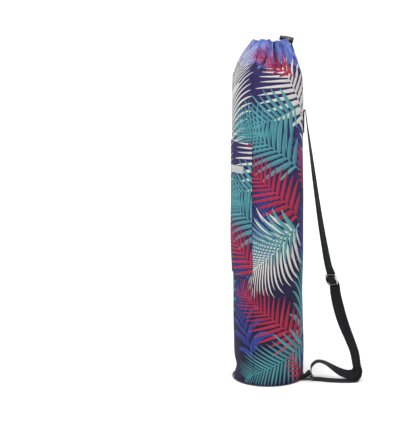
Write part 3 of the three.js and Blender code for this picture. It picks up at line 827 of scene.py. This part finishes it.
def make_print():
    group = bpy.data.node_groups.new("palm_print", "ShaderNodeTree")
    group.interface.new_socket(name="Place", in_out="INPUT", socket_type="NodeSocketVector")
    group.interface.new_socket(name="Colour", in_out="OUTPUT", socket_type="NodeSocketColor")
    enter = group.nodes.new("NodeGroupInput")
    leave = group.nodes.new("NodeGroupOutput")
    place = enter.outputs["Place"]
    across, upward = split_place(group, place)
    mottle = make_noise(group, place, 28.0, 3.0)
    # painted shade: the ground darkens towards the bottom of the cloth, as if less light fell there
    below = calculate(group, "SUBTRACT", painted_shade_below, upward)
    depth = calculate(group, "DIVIDE", below, painted_shade_over)
    depth.node.use_clamp = True
    upper_ground = blend_colours(group, mottle, *GROUND)
    colour = blend_colours(group, depth, upper_ground, blend_colours(group, mottle, *PAINTED_SHADE_GROUND))
    ragged = make_noise(group, place, 70.0, 5.0)
    wander = calculate(group, "MULTIPLY_ADD", ragged, sky_wander, -sky_wander / 2)
    edge = calculate(group, "SUBTRACT", calculate(group, "ADD", upward, wander), sky_begins)
    sky_share = calculate(group, "DIVIDE", edge, sky_softness)
    sky_share.node.use_clamp = True
    streak = group.nodes.new("ShaderNodeVectorMath")
    streak.operation = "MULTIPLY"
    group.links.new(place, streak.inputs[0])
    streak.inputs[1].default_value = stroke_scale
    strokes = make_noise(group, streak.outputs["Vector"], 1.0, 4.0)
    evened = 0.5 - 0.5 * stroke_contrast
    brushed = calculate(group, "MULTIPLY_ADD", strokes, stroke_contrast, evened)
    brushed.node.use_clamp = True
    colour = blend_colours(group, sky_share, colour, blend_colours(group, brushed, *SKY))
    for *numbers, (dark, light) in frond_chart:
        colour = paint_frond(group, (across, upward), colour, (*numbers, dark, light))
    group.links.new(colour, leave.inputs["Colour"])
    return group


palm_print = make_print()
print("fronds", len(frond_chart), "steps in the print", len(palm_print.nodes))

# %% [markdown]
# The canvas under the print is a plain weave. Two fine waves, across and up, give the threads to
# the bump, and slow noise fades the print a little, as washed cotton fades. The cloth is dull, with
# a soft sheen at the edges where its fibres catch the light. The tube's seam is a fine dark line.

# %% Printed canvas
thread_gap = 0.9 * MM
seam_turn, seam_half_width, seam_darkness = -25.0, 0.7 * MM, 0.75
washed_out, wash_strength = from_screen(150, 140, 170), 0.06


def make_canvas(name, shift=(0.0, 0.0), seam=False):
    material, tree, surface = start_material(name)

    get = partial(calculate, tree)
    place = cloth_place(tree, shift)
    pattern = tree.nodes.new("ShaderNodeGroup")
    pattern.node_tree = palm_print
    tree.links.new(place, pattern.inputs["Place"])
    across, upward = split_place(tree, place)
    turn = 2 * math.pi / thread_gap
    warp = get("SINE", get("MULTIPLY", across, turn))
    weft = get("SINE", get("MULTIPLY", upward, turn))
    fade = get("MULTIPLY", make_noise(tree, place, 60.0, 4.0), wash_strength)
    colour = blend_colours(tree, fade, pattern.outputs["Colour"], washed_out)
    crinkle = make_noise(tree, place, 220.0, 3.0)
    height = get("MULTIPLY_ADD", get("MULTIPLY", warp, weft), 0.25, crinkle)
    if seam:
        off_seam = get("ABSOLUTE", get("SUBTRACT", across, math.radians(seam_turn) * bag_radius))
        on_seam = get("MULTIPLY", get("LESS_THAN", off_seam, seam_half_width), seam_darkness)
        colour = blend_colours(tree, on_seam, colour, ink(26, 20, 52))
        welt = get("MINIMUM", get("MULTIPLY", off_seam, 400.0), 1.2)
        height = get("ADD", height, welt)
    bump = (height, 0.5, 0.4 * MM)
    dress(tree, surface, colour, bump, roughness=0.85, sheen=0.04, specular=0.15)
    return material


canvas = make_canvas("printed_canvas", seam=True)
body.data.materials.append(canvas)

# %% [markdown]
# The foot of the bag is a round panel of the same dark cloth, sewn to the tube with a thin piping
# cord between them. The panel is a disc with a slightly soft edge, and the piping is a ring.

# %% Base panel and piping
def make_plain_cloth(name, colour, thread, roughness=0.8):
    material, tree, surface = start_material(name)
    grain = make_noise(tree, object_place(tree), 1.0 / thread, 3.0)
    cloth_colour = blend_colours(tree, grain, darker(colour, 0.75), colour)
    dress(tree, surface, cloth_colour, (grain, 0.4, 0.4 * MM), roughness, sheen=0.2)
    return material


base_cloth = make_plain_cloth("base_canvas", from_screen(54, 42, 98), 1.2 * MM)
piping_cloth = make_plain_cloth("piping_cloth", from_screen(30, 26, 58), 0.8 * MM)

panel_middle, panel_half = middle_and_half("base_panel")
reach, foot, top = panel_half.x, panel_middle.z - panel_half.z, panel_middle.z + panel_half.z
soft = 0.6 * MM
panel_profile = [
    (reach * 0.5, foot), (reach - soft, foot), (reach, foot + soft),
    (reach, top - soft), (reach - soft, top), (reach * 0.5, top),
]
panel_turns = circle_turns(128)
panel_points = [
    (out * math.cos(turn), out * math.sin(turn), height)
    for out, height in panel_profile
    for turn in panel_turns
]
panel_faces = rod_faces(len(panel_profile), len(panel_turns))
panel = make_object("base_disc", panel_points, panel_faces, base_cloth)
hang_on(panel, BAG, "base_cloth", "base_panel")

piping_middle, piping_half = middle_and_half("base_piping")
piping_radius = piping_half.z
piping_reach = piping_half.x - piping_radius
piping_points, piping_faces = [], skin_faces(180, 12, close_rows=True, close_columns=True)
for turn in circle_turns(180):
    for spoke in circle_turns(12):
        out = piping_reach + piping_radius * math.cos(spoke)
        height = piping_middle.z + piping_radius * math.sin(spoke)
        piping_points.append((out * math.cos(turn), out * math.sin(turn), height))
piping = make_object("piping_ring", piping_points, piping_faces, piping_cloth)
hang_on(piping, BAG, "piping", "base_piping")
print("base panel", round(panel_half.x * 2000), "mm wide")
print("piping", round(piping_radius * 2000, 1), "mm thick")

# %% [markdown]
# A long patch pocket of the same cloth lies on the left side, and a small bare woven label is sewn
# near its top. Both lie on the tube, so they use the tube's own surface and stand off it by their
# thickness. The pocket is turned under at its edges, which leaves a soft raised rim, and it is held
# by a row of stitches. Its print was cut from another place on the roll, so the fronds don't meet.

# %% Pocket and label
rim_inset, rim_half_width, rim_height = 4.0 * MM, 2.2 * MM, 0.45 * MM
edge_softness, edge_share = 1.2 * MM, 0.35
corner_lift = 0.9


def make_patch(name, material, turn_range, bottom, size, lift, thickness, grid, swell=0.0, corner=0.0):
    columns, rows = grid
    width, height = size
    across, along = np.meshgrid(np.linspace(0, 1, columns), np.linspace(0, 1, rows))
    angles = np.meshgrid(np.linspace(*turn_range, columns), np.linspace(0, 1, rows))[0]
    edge = np.minimum(np.minimum(across, 1 - across) * width, np.minimum(along, 1 - along) * height)
    rim = foot_lift = np.zeros_like(edge)
    if corner > 0:
        rim = rim_height * np.exp(-((edge - rim_inset) / rim_half_width) ** 2)
        trim = np.clip(corner - (1 - across) * width, 0, None) ** 2
        foot_lift = corner_lift * trim * np.clip(1 - along * height / corner, 0, 1) / corner
    close = edge_share + (1 - edge_share) * (1 - np.exp(-edge / edge_softness))
    puff = swell * np.sqrt(np.sin(np.pi * across) * np.sin(np.pi * along))
    share = (bottom + height * along + foot_lift) / bag_height
    front = cloth_points(angles, share, lift + puff * MM + rim + thickness * close)
    back = cloth_points(angles, share, np.full_like(share, lift))
    count = rows * columns
    points = np.vstack([front.reshape(-1, 3), back.reshape(-1, 3)])
    faces = skin_faces(rows, columns)
    faces += [tuple(count + spot for spot in reversed(face)) for face in faces]
    border = list(range(columns))
    border += [row * columns + columns - 1 for row in range(1, rows)]
    border += [(rows - 1) * columns + column for column in range(columns - 2, -1, -1)]
    border += [row * columns for row in range(rows - 2, 0, -1)]
    for first, second in zip(border, border[1:] + border[:1]):
        faces.append((second, first, first + count, second + count))
    flat_u = np.radians(angles) * bag_radius
    places = np.stack([flat_u.ravel(), cloth_up(share).ravel()], axis=1)
    return make_object(name, points, faces, material, np.vstack([places, places]))


def width_of(turn_range):
    return math.radians(turn_range[1] - turn_range[0]) * bag_radius


pocket_print_shift = (55 * MM, 144 * MM)
pocket_canvas = make_canvas("pocket_canvas", pocket_print_shift)
pocket_turns = (-150.0, -25.0)
pocket_bottom, pocket_height = 230 * MM, 278 * MM
pocket_thickness, piece_gap = 1.6 * MM, 0.3 * MM
pocket_swell = 0.6
pocket_size = (width_of(pocket_turns), pocket_height)
pocket = make_patch(
    "patch_pocket", pocket_canvas, pocket_turns, pocket_bottom, pocket_size,
    piece_gap, pocket_thickness, (150, 150), pocket_swell, corner=12 * MM,
)
hang_on(pocket, BAG, "pocket_cloth", "side_pocket")

label_turns = (-76.0, -39.5)
label_bottom, label_height = 445 * MM, 15 * MM
label_lift = pocket_thickness + (pocket_swell + 0.6) * MM
label_cloth = make_plain_cloth("label_weave", from_screen(168, 168, 170), 0.7 * MM)
label_size = (width_of(label_turns), label_height)
label = make_patch(
    "woven_label", label_cloth, label_turns, label_bottom, label_size,
    label_lift, 0.8 * MM, (60, 14),
)
hang_on(label, BAG, "label", "pocket_label")
print("pocket", [round(side * 1000) for side in pocket_size], "mm")

# %% [markdown]
# Stitches are little bars of thread, half sunk in the cloth. One function lays a row of them along a
# line on the bag: the pocket's sides, its foot and its hem, and the label's two ends. They are small,
# but they tell the eye how the bag is put together.

# %% Stitches
thread = make_plain_cloth("sewing_thread", from_screen(92, 84, 140), 0.6 * MM, 0.7)
pale_thread = make_plain_cloth("label_thread", from_screen(120, 120, 124), 0.6 * MM, 0.7)
stitch_pitch = 3.2 * MM
stitch_length = 2.3 * MM
stitch_radius = 0.28 * MM


def stitch_line(angles, heights, lift):
    fine = cloth_points(np.asarray(angles), np.asarray(heights), lift)
    run = run_along(fine)
    count = max(int(run[-1] / stitch_pitch), 1)
    at = (np.arange(count) + 0.5) / count * run[-1]
    middle, ahead = (
        np.stack([np.interp(spot, run, fine[:, axis]) for axis in range(3)], axis=1)
        for spot in (at, at + 0.5 * MM)
    )
    along = ahead - middle
    along /= np.linalg.norm(along, axis=1)[:, None] + 1e-12
    outward = middle * (1, 1, 0)
    outward /= np.linalg.norm(outward, axis=1)[:, None]
    return middle, along, outward


def sew(name, material, lines, slot_name):
    points, faces = [], []
    profile = [(-0.5, 0.25), (-0.35, 0.85), (0.0, 1.0), (0.35, 0.85), (0.5, 0.25)]
    turns = circle_turns(6)
    for middles, alongs, outwards in lines:
        for middle, along, outward in zip(middles, alongs, outwards):
            aside = np.cross(along, outward)
            faces += rod_faces(len(profile), len(turns), start=len(points))
            for share, swell in profile:
                for turn in turns:
                    offset = aside * math.cos(turn) + outward * math.sin(turn)
                    points.append(middle + along * share * stitch_length + offset * stitch_radius * swell)
    return hang_on(make_object(name, points, faces, material), BAG, slot_name)


def level_row(turn_range, height, lift):
    return stitch_line(np.linspace(*turn_range, 200), np.full(200, height / bag_height), lift)


def upright_row(turn, height_range, lift):
    return stitch_line(np.full(200, turn), np.linspace(*height_range, 200) / bag_height, lift)


pocket_face = piece_gap + pocket_thickness + 0.35 * MM
pocket_top = pocket_bottom + pocket_height
hem_depth, corner_turn = 18 * MM, 6.0
back_turn, front_turn = pocket_turns[0] + 2.6, pocket_turns[1] - 2.6
foot_row = pocket_bottom + 3.4 * MM
sewn_lines = [
    level_row((back_turn, pocket_turns[1] - corner_turn), foot_row, pocket_face),
    level_row((back_turn, front_turn), pocket_top - hem_depth, pocket_face),
    upright_row(back_turn, (foot_row, pocket_top), pocket_face),
    upright_row(front_turn, (pocket_bottom + 12 * MM, pocket_top), pocket_face),
]
sew("pocket_stitches", thread, sewn_lines, "pocket_cloth")
label_face = label_lift + 0.75 * MM
label_rows = (label_bottom + 1.5 * MM, label_bottom + label_height - 1.5 * MM)
label_lines = [
    upright_row(turn, label_rows, label_face) for turn in (label_turns[0] + 1.5, label_turns[1] - 1.5)
]
sew("label_stitches", pale_thread, label_lines, "label")

# %% [markdown]
# The shoulder strap is one length of black webbing, 25 mm wide. It is sewn to the bag's side, goes
# through the slider, down to an arch at the floor, round the ring, and back up behind itself to
# the slider, where its end is tucked. The tables are those of its solid: a row a station, with the
# place and the way the webbing faces. The finished strap passes through every station.

# %% The strap's route
strap_width = 25 * MM
strap_thickness = 1.6 * MM
layer_step = 2.0 * MM
fold_height = 568 * MM
strap_reach = 116.5 * MM
strap_forward = 34 * MM
arch_height = 40 * MM
slider_wire = 2.8 * MM
slider_half_length = 10 * MM
slider_place = 0.62
tuck_length = 16 * MM
ring_wire = 3 * MM
ring_length = 12.5 * MM
hardware_clearance = 1 * MM

hang_table = [
    # down, out, forward, turn
    (0.020, 0.028, 0.000, 90), (0.056, 0.050, 0.010, 88), (0.143, 0.108, 0.055, 80),
    (0.230, 0.166, 0.120, 74), (0.317, 0.227, 0.190, 70), (0.405, 0.292, 0.275, 65),
    (0.493, 0.366, 0.370, 60), (0.570, 0.440, 0.460, 54), (0.620, 0.512, 0.520, 46),
    (0.670, 0.565, 0.585, 34), (0.714, 0.610, 0.645, 28), (0.759, 0.670, 0.705, 28),
    (0.804, 0.745, 0.770, 34), (0.848, 0.832, 0.830, 42), (0.893, 0.912, 0.900, 48),
    (0.938, 0.952, 0.960, 52),
]
arch_table = [
    # out, rise, forward, lift, facing
    (0.960, 0.640, 1.00, 6, 55), (0.925, 0.400, 1.02, 26, 68), (0.850, 0.320, 1.04, 32, 80),
    (0.760, 0.350, 1.05, 30, 88), (0.655, 0.470, 1.04, 26, 90), (0.550, 0.650, 1.02, 17, 90),
    (0.465, 0.810, 0.99, 8, 90), (0.385, 0.940, 0.95, 1, 90), (0.305, 1.000, 0.90, -4, 90),
    (0.235, 0.965, 0.85, -4, 90), (0.175, 0.830, 0.80, -2, 90), (0.138, 0.640, 0.77, 0, 90),
]
ground_table = [
    # out, rise, forward, lift, facing
    (0.300, 0.000, 0.86, 0, 90), (0.450, 0.000, 1.02, 0, 90), (0.600, 0.000, 1.12, 0, 90),
    (0.740, 0.000, 1.16, 0, 90), (0.860, 0.010, 1.15, 2, 88), (0.940, 0.070, 1.10, 8, 80),
    (0.985, 0.250, 1.05, 8, 68), (1.000, 0.560, 1.00, 4, 58),
]
weave_table = [
    # down, clear, layers
    (-1.40, -1.00, 0.0), (-1.00, -1.00, 0.0), (-0.76, -0.64, 0.0), (-0.50, 0.36, 0.5),
    (-0.26, 0.80, 1.0), (0.00, 1.00, 1.0), (0.26, 0.80, 1.0), (0.50, 0.36, 0.5),
    (0.76, -0.64, 0.0), (1.00, -1.00, 0.0), (1.40, -1.00, 0.0),
]
rise_table = [
    (2.40, -1.00, -1.4), (1.70, -1.00, -2.0), (0.85, -1.00, -2.0), (0.55, -1.00, -1.55),
    (0.25, -1.00, -0.55),
]
tuck_table = [(0.40, -0.48, 0.0), (0.62, -1.00, -0.55), (0.90, -1.00, -1.0)]


def unit(vector):
    return vector / np.linalg.norm(vector)


def edge_direction(turn, lift=0.0):
    flat = math.cos(math.radians(lift))
    turn = math.radians(turn)
    return np.array([math.cos(turn) * flat, -math.sin(turn) * flat, -math.sin(math.radians(lift))])


def hang_station(row):
    down, out, forward, turn = row
    point = np.array([bag_radius + strap_reach * out, -strap_forward * forward, fold_height * (1 - down)])
    return point, edge_direction(turn)


ground_height = strap_thickness / 2 + 0.2 * MM


def low_station(row):
    out, raised, forward, lift, facing = row
    place = np.array([
        bag_radius + strap_reach * out, -strap_forward * forward, ground_height + arch_height * raised,
    ])
    return place, edge_direction(facing, lift)


def shifted(stations, amount):
    moved = []
    for index, (point, across) in enumerate(stations):
        before = stations[max(index - 1, 0)][0]
        after = stations[min(index + 1, len(stations) - 1)][0]
        normal = unit(np.cross(unit(after - before), across))
        moved.append((point + normal * amount, across))
    return moved


wire_clear = slider_wire / 2 + piece_gap + strap_thickness / 2


def slider_frame():
    below = next(index for index, row in enumerate(hang_table) if row[0] >= slider_place)
    row_above, row_below = hang_table[below - 1:below + 1]
    high_point, high_across = hang_station(row_above)
    low_point, low_across = hang_station(row_below)
    share = (slider_place - row_above[0]) / (row_below[0] - row_above[0])
    along = unit(hang_station(hang_table[below + 1])[0] - high_point)
    across = high_across * (1 - share) + low_across * share
    front = unit(np.cross(along, across))
    across = unit(np.cross(front, along))
    middle = high_point * (1 - share) + low_point * share + front * wire_clear
    return middle, along, across, front


slider_middle, slider_along, slider_across, slider_front = slider_frame()


def slider_station(down, front):
    return slider_middle + slider_along * down + slider_front * front, slider_across


def slider_route(rows):
    return [
        slider_station(down * slider_half_length, clear * wire_clear + layers * layer_step)
        for down, clear, layers in rows
    ]


ring_out, ring_forward, ring_lean = 19.5 * MM, 26 * MM, math.radians(128)
ring_clear = ring_wire / 2 + piece_gap + strap_thickness / 2
ring_bar_low = np.array([bag_radius + ring_out, -ring_forward, ground_height + ring_clear])
ring_direction = np.array([math.cos(ring_lean), 0.0, math.sin(ring_lean)])
ring_bar_high = ring_bar_low + ring_direction * ring_length


def round_bar(centre, radius, begin, end, steps):
    stations = []
    for turn in np.radians(np.linspace(begin, end, steps + 1)):
        point = centre + np.array([math.cos(turn), 0.0, math.sin(turn)]) * radius
        stations.append((point, edge_direction(90)))
    return stations


patch_length = 46 * MM
seam_height = fold_height - patch_length
sewn_x = float(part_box("shoulder_strap")[0][0]) + strap_thickness / 2
fold_radius = layer_step / 2 + 0.6 * MM
slider_room = 24 * MM


def strap_stations():
    sewn = [
        (np.array([sewn_x, 0.0, height]), edge_direction(90))
        for height in (seam_height, seam_height + patch_length / 2, fold_height - fold_radius * 2)
    ]
    fold_centre = np.array([sewn_x + fold_radius, 0.0, fold_height - fold_radius])
    fold = round_bar(fold_centre, fold_radius, 165, 15, 4)
    clear = [row for row in hang_table if abs(row[0] - slider_place) * fold_height >= slider_room]
    above = [hang_station(row) for row in clear if row[0] < slider_place]
    lower = [hang_station(row) for row in clear if row[0] > slider_place]
    arch = [low_station(row) for row in arch_table]
    wrap = round_bar(ring_bar_low, ring_clear, 150, 270, 5)
    ground = [low_station(row) for row in ground_table]
    back = shifted(lower, -layer_step)[::-1]
    loop = [
        slider_station(math.cos(turn) * wire_clear, math.sin(turn) * wire_clear)
        for turn in np.radians(np.arange(270, 44, -45))
    ]
    hairpin = slider_route(rise_table) + loop + slider_route(tuck_table)
    hairpin.append(slider_station(tuck_length, -wire_clear - layer_step))
    through = slider_route(weave_table)
    return sewn + fold + above + through + lower + arch + wrap + ground + back + hairpin


route = strap_stations()
print("strap stations", len(route), "sewn at", round(sewn_x * 1000, 2), "mm")

# %% [markdown]
# Webbing is a flat weave with a thick selvage at each edge. Its section is a flat oblong with round
# edges and a slightly hollow middle. The section is carried along the route, and its place on the
# strip goes to the finish, which draws the weave's small chevrons and the two selvage lines, and
# paints shade into the grooves between the ribs over a random tone.

# %% The webbing
chevron_width, rib_pitch, selvage_width = 2.1 * MM, 1.7 * MM, 2.2 * MM
webbing_dark, webbing_light = (0.003, 0.003, 0.0035, 1.0), (0.012, 0.012, 0.014, 1.0)


def make_webbing_finish(name, width):
    material, tree, surface = start_material(name)

    get = partial(calculate, tree)
    across, along = split_place(tree, cloth_place(tree))
    chevron = get("PINGPONG", across, chevron_width)
    rib = get("SINE", get("MULTIPLY", get("ADD", along, chevron), 2 * math.pi / rib_pitch))
    wale = get("SINE", get("MULTIPLY", across, 2 * math.pi / chevron_width))
    off_selvage = get("SUBTRACT", get("ABSOLUTE", across), width / 2 - selvage_width)
    selvage = get("SMOOTH_MIN", off_selvage, 0.001, 0.001)
    height = get("MULTIPLY_ADD", rib, 0.6, get("MULTIPLY", wale, 0.4))
    height = get("MULTIPLY_ADD", selvage, 300.0, height)
    # partly painted shade, darker in the grooves between the ribs, and partly a random tone from noise
    shade = get("MULTIPLY_ADD", rib, 0.25, make_noise(tree, object_place(tree), 900.0, 3.0))
    colour = blend_colours(tree, shade, webbing_dark, webbing_light)
    bump = (height, 0.6, 0.4 * MM)
    dress(tree, surface, colour, bump, roughness=0.62, sheen=0.03, specular=0.15)
    surface.inputs["Sheen Roughness"].default_value = 0.45
    return material


webbing_finish = make_webbing_finish("black_webbing", strap_width)


def webbing_section(width, thickness):
    half_thick = thickness / 2
    flat_end = width / 2 - half_thick
    flats = np.linspace(-flat_end, flat_end, 15)
    hollow = 0.12 * MM * (1 - (flats / (width / 2)) ** 2)
    turns = np.linspace(-np.pi / 2, np.pi / 2, 7)[1:-1]
    half = [(x, -half_thick + dip) for x, dip in zip(flats, hollow)]
    half += [(flat_end + half_thick * math.cos(t), half_thick * math.sin(t)) for t in turns]
    return half + [(-x, -y) for x, y in half]


def make_webbing(name, stations, width, thickness, steps_each):
    spots = np.array([point for point, _ in stations])
    edges = np.array([across for _, across in stations])
    path = smooth_path(spots, steps_each)
    along = np.gradient(path, axis=0)
    along /= np.linalg.norm(along, axis=1)[:, None]
    shares, stops = np.arange(len(path)) / steps_each, np.arange(len(edges))
    across = np.stack([np.interp(shares, stops, edges[:, axis]) for axis in range(3)], axis=1)
    normal = np.cross(along, across)
    normal /= np.linalg.norm(normal, axis=1)[:, None]
    across = np.cross(normal, along)
    run = run_along(path)
    section = webbing_section(width, thickness)
    points, places = [], []
    for centre, side, out, distance in zip(path, across, normal, run):
        for x, y in section:
            points.append(centre + side * x + out * y)
            places.append((x, distance))
    faces = rod_faces(len(path), len(section))
    return make_object(name, points, faces, webbing_finish, places), run[-1]


strap, strap_length = make_webbing("strap_webbing", route, strap_width, strap_thickness, 8)
hang_on(strap, BAG, "webbing", "shoulder_strap")
print("strap length", round(strap_length * 1000), "mm, faces", len(strap.data.polygons))

# %% [markdown]
# The slider is bent from nickel-plated wire: a loop with straight sides, and a bar across its
# middle that the strap folds over. The ring at the foot is a shorter black loop, held to the bag by
# a short tab of webbing. A loop is a ring of wire whose four quarters are pulled apart.

# %% Slider, ring and tab
def make_metal(name, colour, roughness):
    material, tree, surface = start_material(name)
    scratch = make_noise(tree, object_place(tree), 700.0, 3.0)
    surface.inputs["Base Color"].default_value = colour
    surface.inputs["Metallic"].default_value = 1.0
    join(tree, surface.inputs["Roughness"], calculate(tree, "MULTIPLY_ADD", scratch, 0.15, roughness))
    return material


nickel = make_metal("nickel_wire", (0.62, 0.61, 0.59, 1.0), 0.22)


def loop_path(half_width, half_length, corner, steps):
    turns = circle_turns(steps * 4) + np.pi / (steps * 4)
    x, y = corner * np.cos(turns), corner * np.sin(turns)
    wide = x + np.sign(x) * (half_width - corner)
    long = y + np.sign(y) * (half_length - corner)
    return np.stack([wide, long, np.zeros_like(x)], axis=1)


def wire_loop(name, path, wire, material, place):
    ahead = np.roll(path, -1, axis=0) - path
    ahead /= np.linalg.norm(ahead, axis=1)[:, None]
    along = ahead + np.roll(ahead, 1, axis=0)
    along /= np.linalg.norm(along, axis=1)[:, None]
    up = np.array([0.0, 0.0, 1.0])
    aside = np.cross(along, up)
    turns = circle_turns(16)
    points = [
        place @ Vector(spot + (a * math.cos(turn) + up * math.sin(turn)) * wire / 2)
        for spot, a in zip(path, aside)
        for turn in turns
    ]
    faces = skin_faces(len(path), len(turns), close_rows=True, close_columns=True)
    return make_object(name, points, faces, material)


def place_of(middle, first, second, third):
    place = Matrix.Identity(4)
    for column, axis in enumerate((first, second, third)):
        for row in range(3):
            place[row][column] = float(axis[row])
    place.translation = Vector(middle)
    return place


hardware_half_width = strap_width / 2 + hardware_clearance + slider_wire / 2
slider_place_matrix = place_of(slider_middle, slider_across, slider_along, -slider_front)
slider_path = loop_path(hardware_half_width, slider_half_length, slider_wire * 1.2, 10)
slider_loop = wire_loop("slider_loop", slider_path, slider_wire, nickel, slider_place_matrix)
hang_on(slider_loop, BAG, "slider_metal", "strap_slider")
bar_ends = [slider_place_matrix @ Vector((side * hardware_half_width, 0, 0)) for side in (-1, 1)]
bar_path = np.array([bar_ends[0], (bar_ends[0] + bar_ends[1]) / 2, bar_ends[1]])
slider_bar = tube("slider_bar", bar_path, slider_wire / 2, 16, nickel)
hang_on(slider_bar, BAG, "slider_metal")

ring_half_width = strap_width / 2 + hardware_clearance + ring_wire / 2
sideways = np.array([0.0, 1.0, 0.0])
ring_middle = (ring_bar_low + ring_bar_high) / 2
ring_place = place_of(ring_middle, sideways, ring_direction, np.cross(sideways, ring_direction))
ring_path = loop_path(ring_half_width, ring_length / 2, ring_wire * 1.2, 10)
ring = wire_loop("base_ring", ring_path, ring_wire, black_plastic, ring_place)
hang_on(ring, BAG, "hard_plastic", "strap_ring")

tab_turn = 70.0
piping_width = 3.0 * MM


def tab_layer(height):
    share = height / bag_height
    layer = []
    for outward in (piece_gap + 0.5 * MM, piece_gap + 2.5 * MM):
        point = cloth_points([tab_turn], [share], outward)[0]
        point[2] = height
        layer.append((point, edge_direction(180 - tab_turn)))
    return layer


tab_root = piping_width + piece_gap + strap_thickness / 2
tab_route = tab_layer(tab_root) + round_bar(ring_bar_high, ring_clear, -70, 125, 6)
tab_route += tab_layer(tab_root + layer_step)[::-1]
tab, tab_length = make_webbing("tab_webbing", tab_route, strap_width, strap_thickness, 8)
hang_on(tab, BAG, "webbing", "ring_tab")
print("slider", round(hardware_half_width * 2000), "mm, ring", round(ring_half_width * 2000), "mm wide")

# %% [markdown]
# The strap's top end is sewn to the bag with a box of stitches and a cross in it, because that end
# carries the load. The thread is black like the webbing and only shows as a slight ridge.

# %% Stitches of the strap
def straight_row(begin, end, outward):
    begin, end = np.array(begin), np.array(end)
    length = np.linalg.norm(end - begin)
    count = max(int(length / stitch_pitch), 1)
    shares = (np.arange(count) + 0.5) / count
    middles = begin + shares[:, None] * (end - begin)
    alongs = np.tile((end - begin) / length, (count, 1))
    return middles, alongs, np.tile(np.asarray(outward), (count, 1))


patch_face = sewn_x + strap_thickness / 2 - 0.1 * MM
inset = 3.0 * MM
front_y, back_y = -strap_width / 2 + inset, strap_width / 2 - inset
low_z, high_z = seam_height + inset, fold_height - 10 * MM
corners = [
    (patch_face, front_y, low_z), (patch_face, back_y, low_z),
    (patch_face, back_y, high_z), (patch_face, front_y, high_z),
]
pairs = [(0, 1), (1, 2), (2, 3), (3, 0), (0, 2), (1, 3)]
box_rows = [straight_row(corners[a], corners[b], (1.0, 0.0, 0.0)) for a, b in pairs]
black_thread = make_plain_cloth("black_thread", (0.03, 0.03, 0.034, 1.0), 0.5 * MM, 0.5)
sew("strap_box_stitch", black_thread, box_rows, "webbing")
print("rows in the box stitch", len(box_rows))

# %% [markdown]
# The bag stands on a wide white sheet that glows more and more from 70 cm outward, so that the
# picture's edges stay white from every side. Light comes from everywhere, as on a product table: a
# broad panel overhead, a soft one in front on the left and a weaker one on the right. Only a faint
# grey shadow is left at the foot.

# %% Floor and light
floor_hole, floor_reach = 0.5 * MM, 90.0
glow_begins, glow_full, glow_strength = 0.7, 2.6, 0.62


def make_floor():
    points = [
        (reach * math.cos(turn), reach * math.sin(turn), 0.0)
        for reach in (floor_hole, floor_reach)
        for turn in circle_turns(96)
    ]
    material, tree, surface = start_material("pale_floor")
    surface.inputs["Base Color"].default_value = (0.93, 0.93, 0.93, 1.0)
    surface.inputs["Roughness"].default_value = 0.9
    surface.inputs["Specular IOR Level"].default_value = 0.1
    surface.inputs["Emission Color"].default_value = (1.0, 1.0, 1.0, 1.0)
    away = tree.nodes.new("ShaderNodeVectorMath")
    away.operation = "LENGTH"
    tree.links.new(object_place(tree), away.inputs[0])
    glow = tree.nodes.new("ShaderNodeMapRange")
    glow.interpolation_type = "SMOOTHSTEP"
    glow.inputs["From Min"].default_value = glow_begins
    glow.inputs["From Max"].default_value = glow_full
    glow.inputs["To Max"].default_value = glow_strength
    tree.links.new(away.outputs["Value"], glow.inputs["Value"])
    tree.links.new(glow.outputs["Result"], surface.inputs["Emission Strength"])
    faces = skin_faces(2, len(points) // 2, close_columns=True)
    return make_object("floor", points, faces, material, smooth=False)


make_floor()


def soft_panel(name, place, aim, size, power):
    data = bpy.data.lights.new(name, "AREA")
    data.shape = "RECTANGLE"
    data.size, data.size_y = size
    data.energy = power
    panel = bpy.data.objects.new(name, data)
    panel.location = place
    panel.rotation_euler = (Vector(aim) - Vector(place)).to_track_quat("-Z", "Y").to_euler()
    bpy.context.scene.collection.objects.link(panel)


soft_panel("panel_left", (-1.5, -1.7, 2.1), (0.0, 0.0, 0.55), (1.1, 1.4), 30.0)
soft_panel("panel_right", (1.9, -1.6, 1.4), (0.0, 0.0, 0.35), (1.0, 1.4), 8.0)
soft_panel("panel_above", (0.0, -0.2, 2.4), (0.0, 0.0, 0.3), (2.6, 2.6), 60.0)
world = bpy.data.worlds.new("surround")
world.use_nodes = True
surround = world.node_tree.nodes["Background"]
surround.inputs["Color"].default_value = (1.0, 1.0, 1.0, 1.0)
surround.inputs["Strength"].default_value = 0.55
bpy.context.scene.world = world
bpy.context.scene.view_settings.view_transform = "Standard"
print("lights", len(bpy.data.lights))
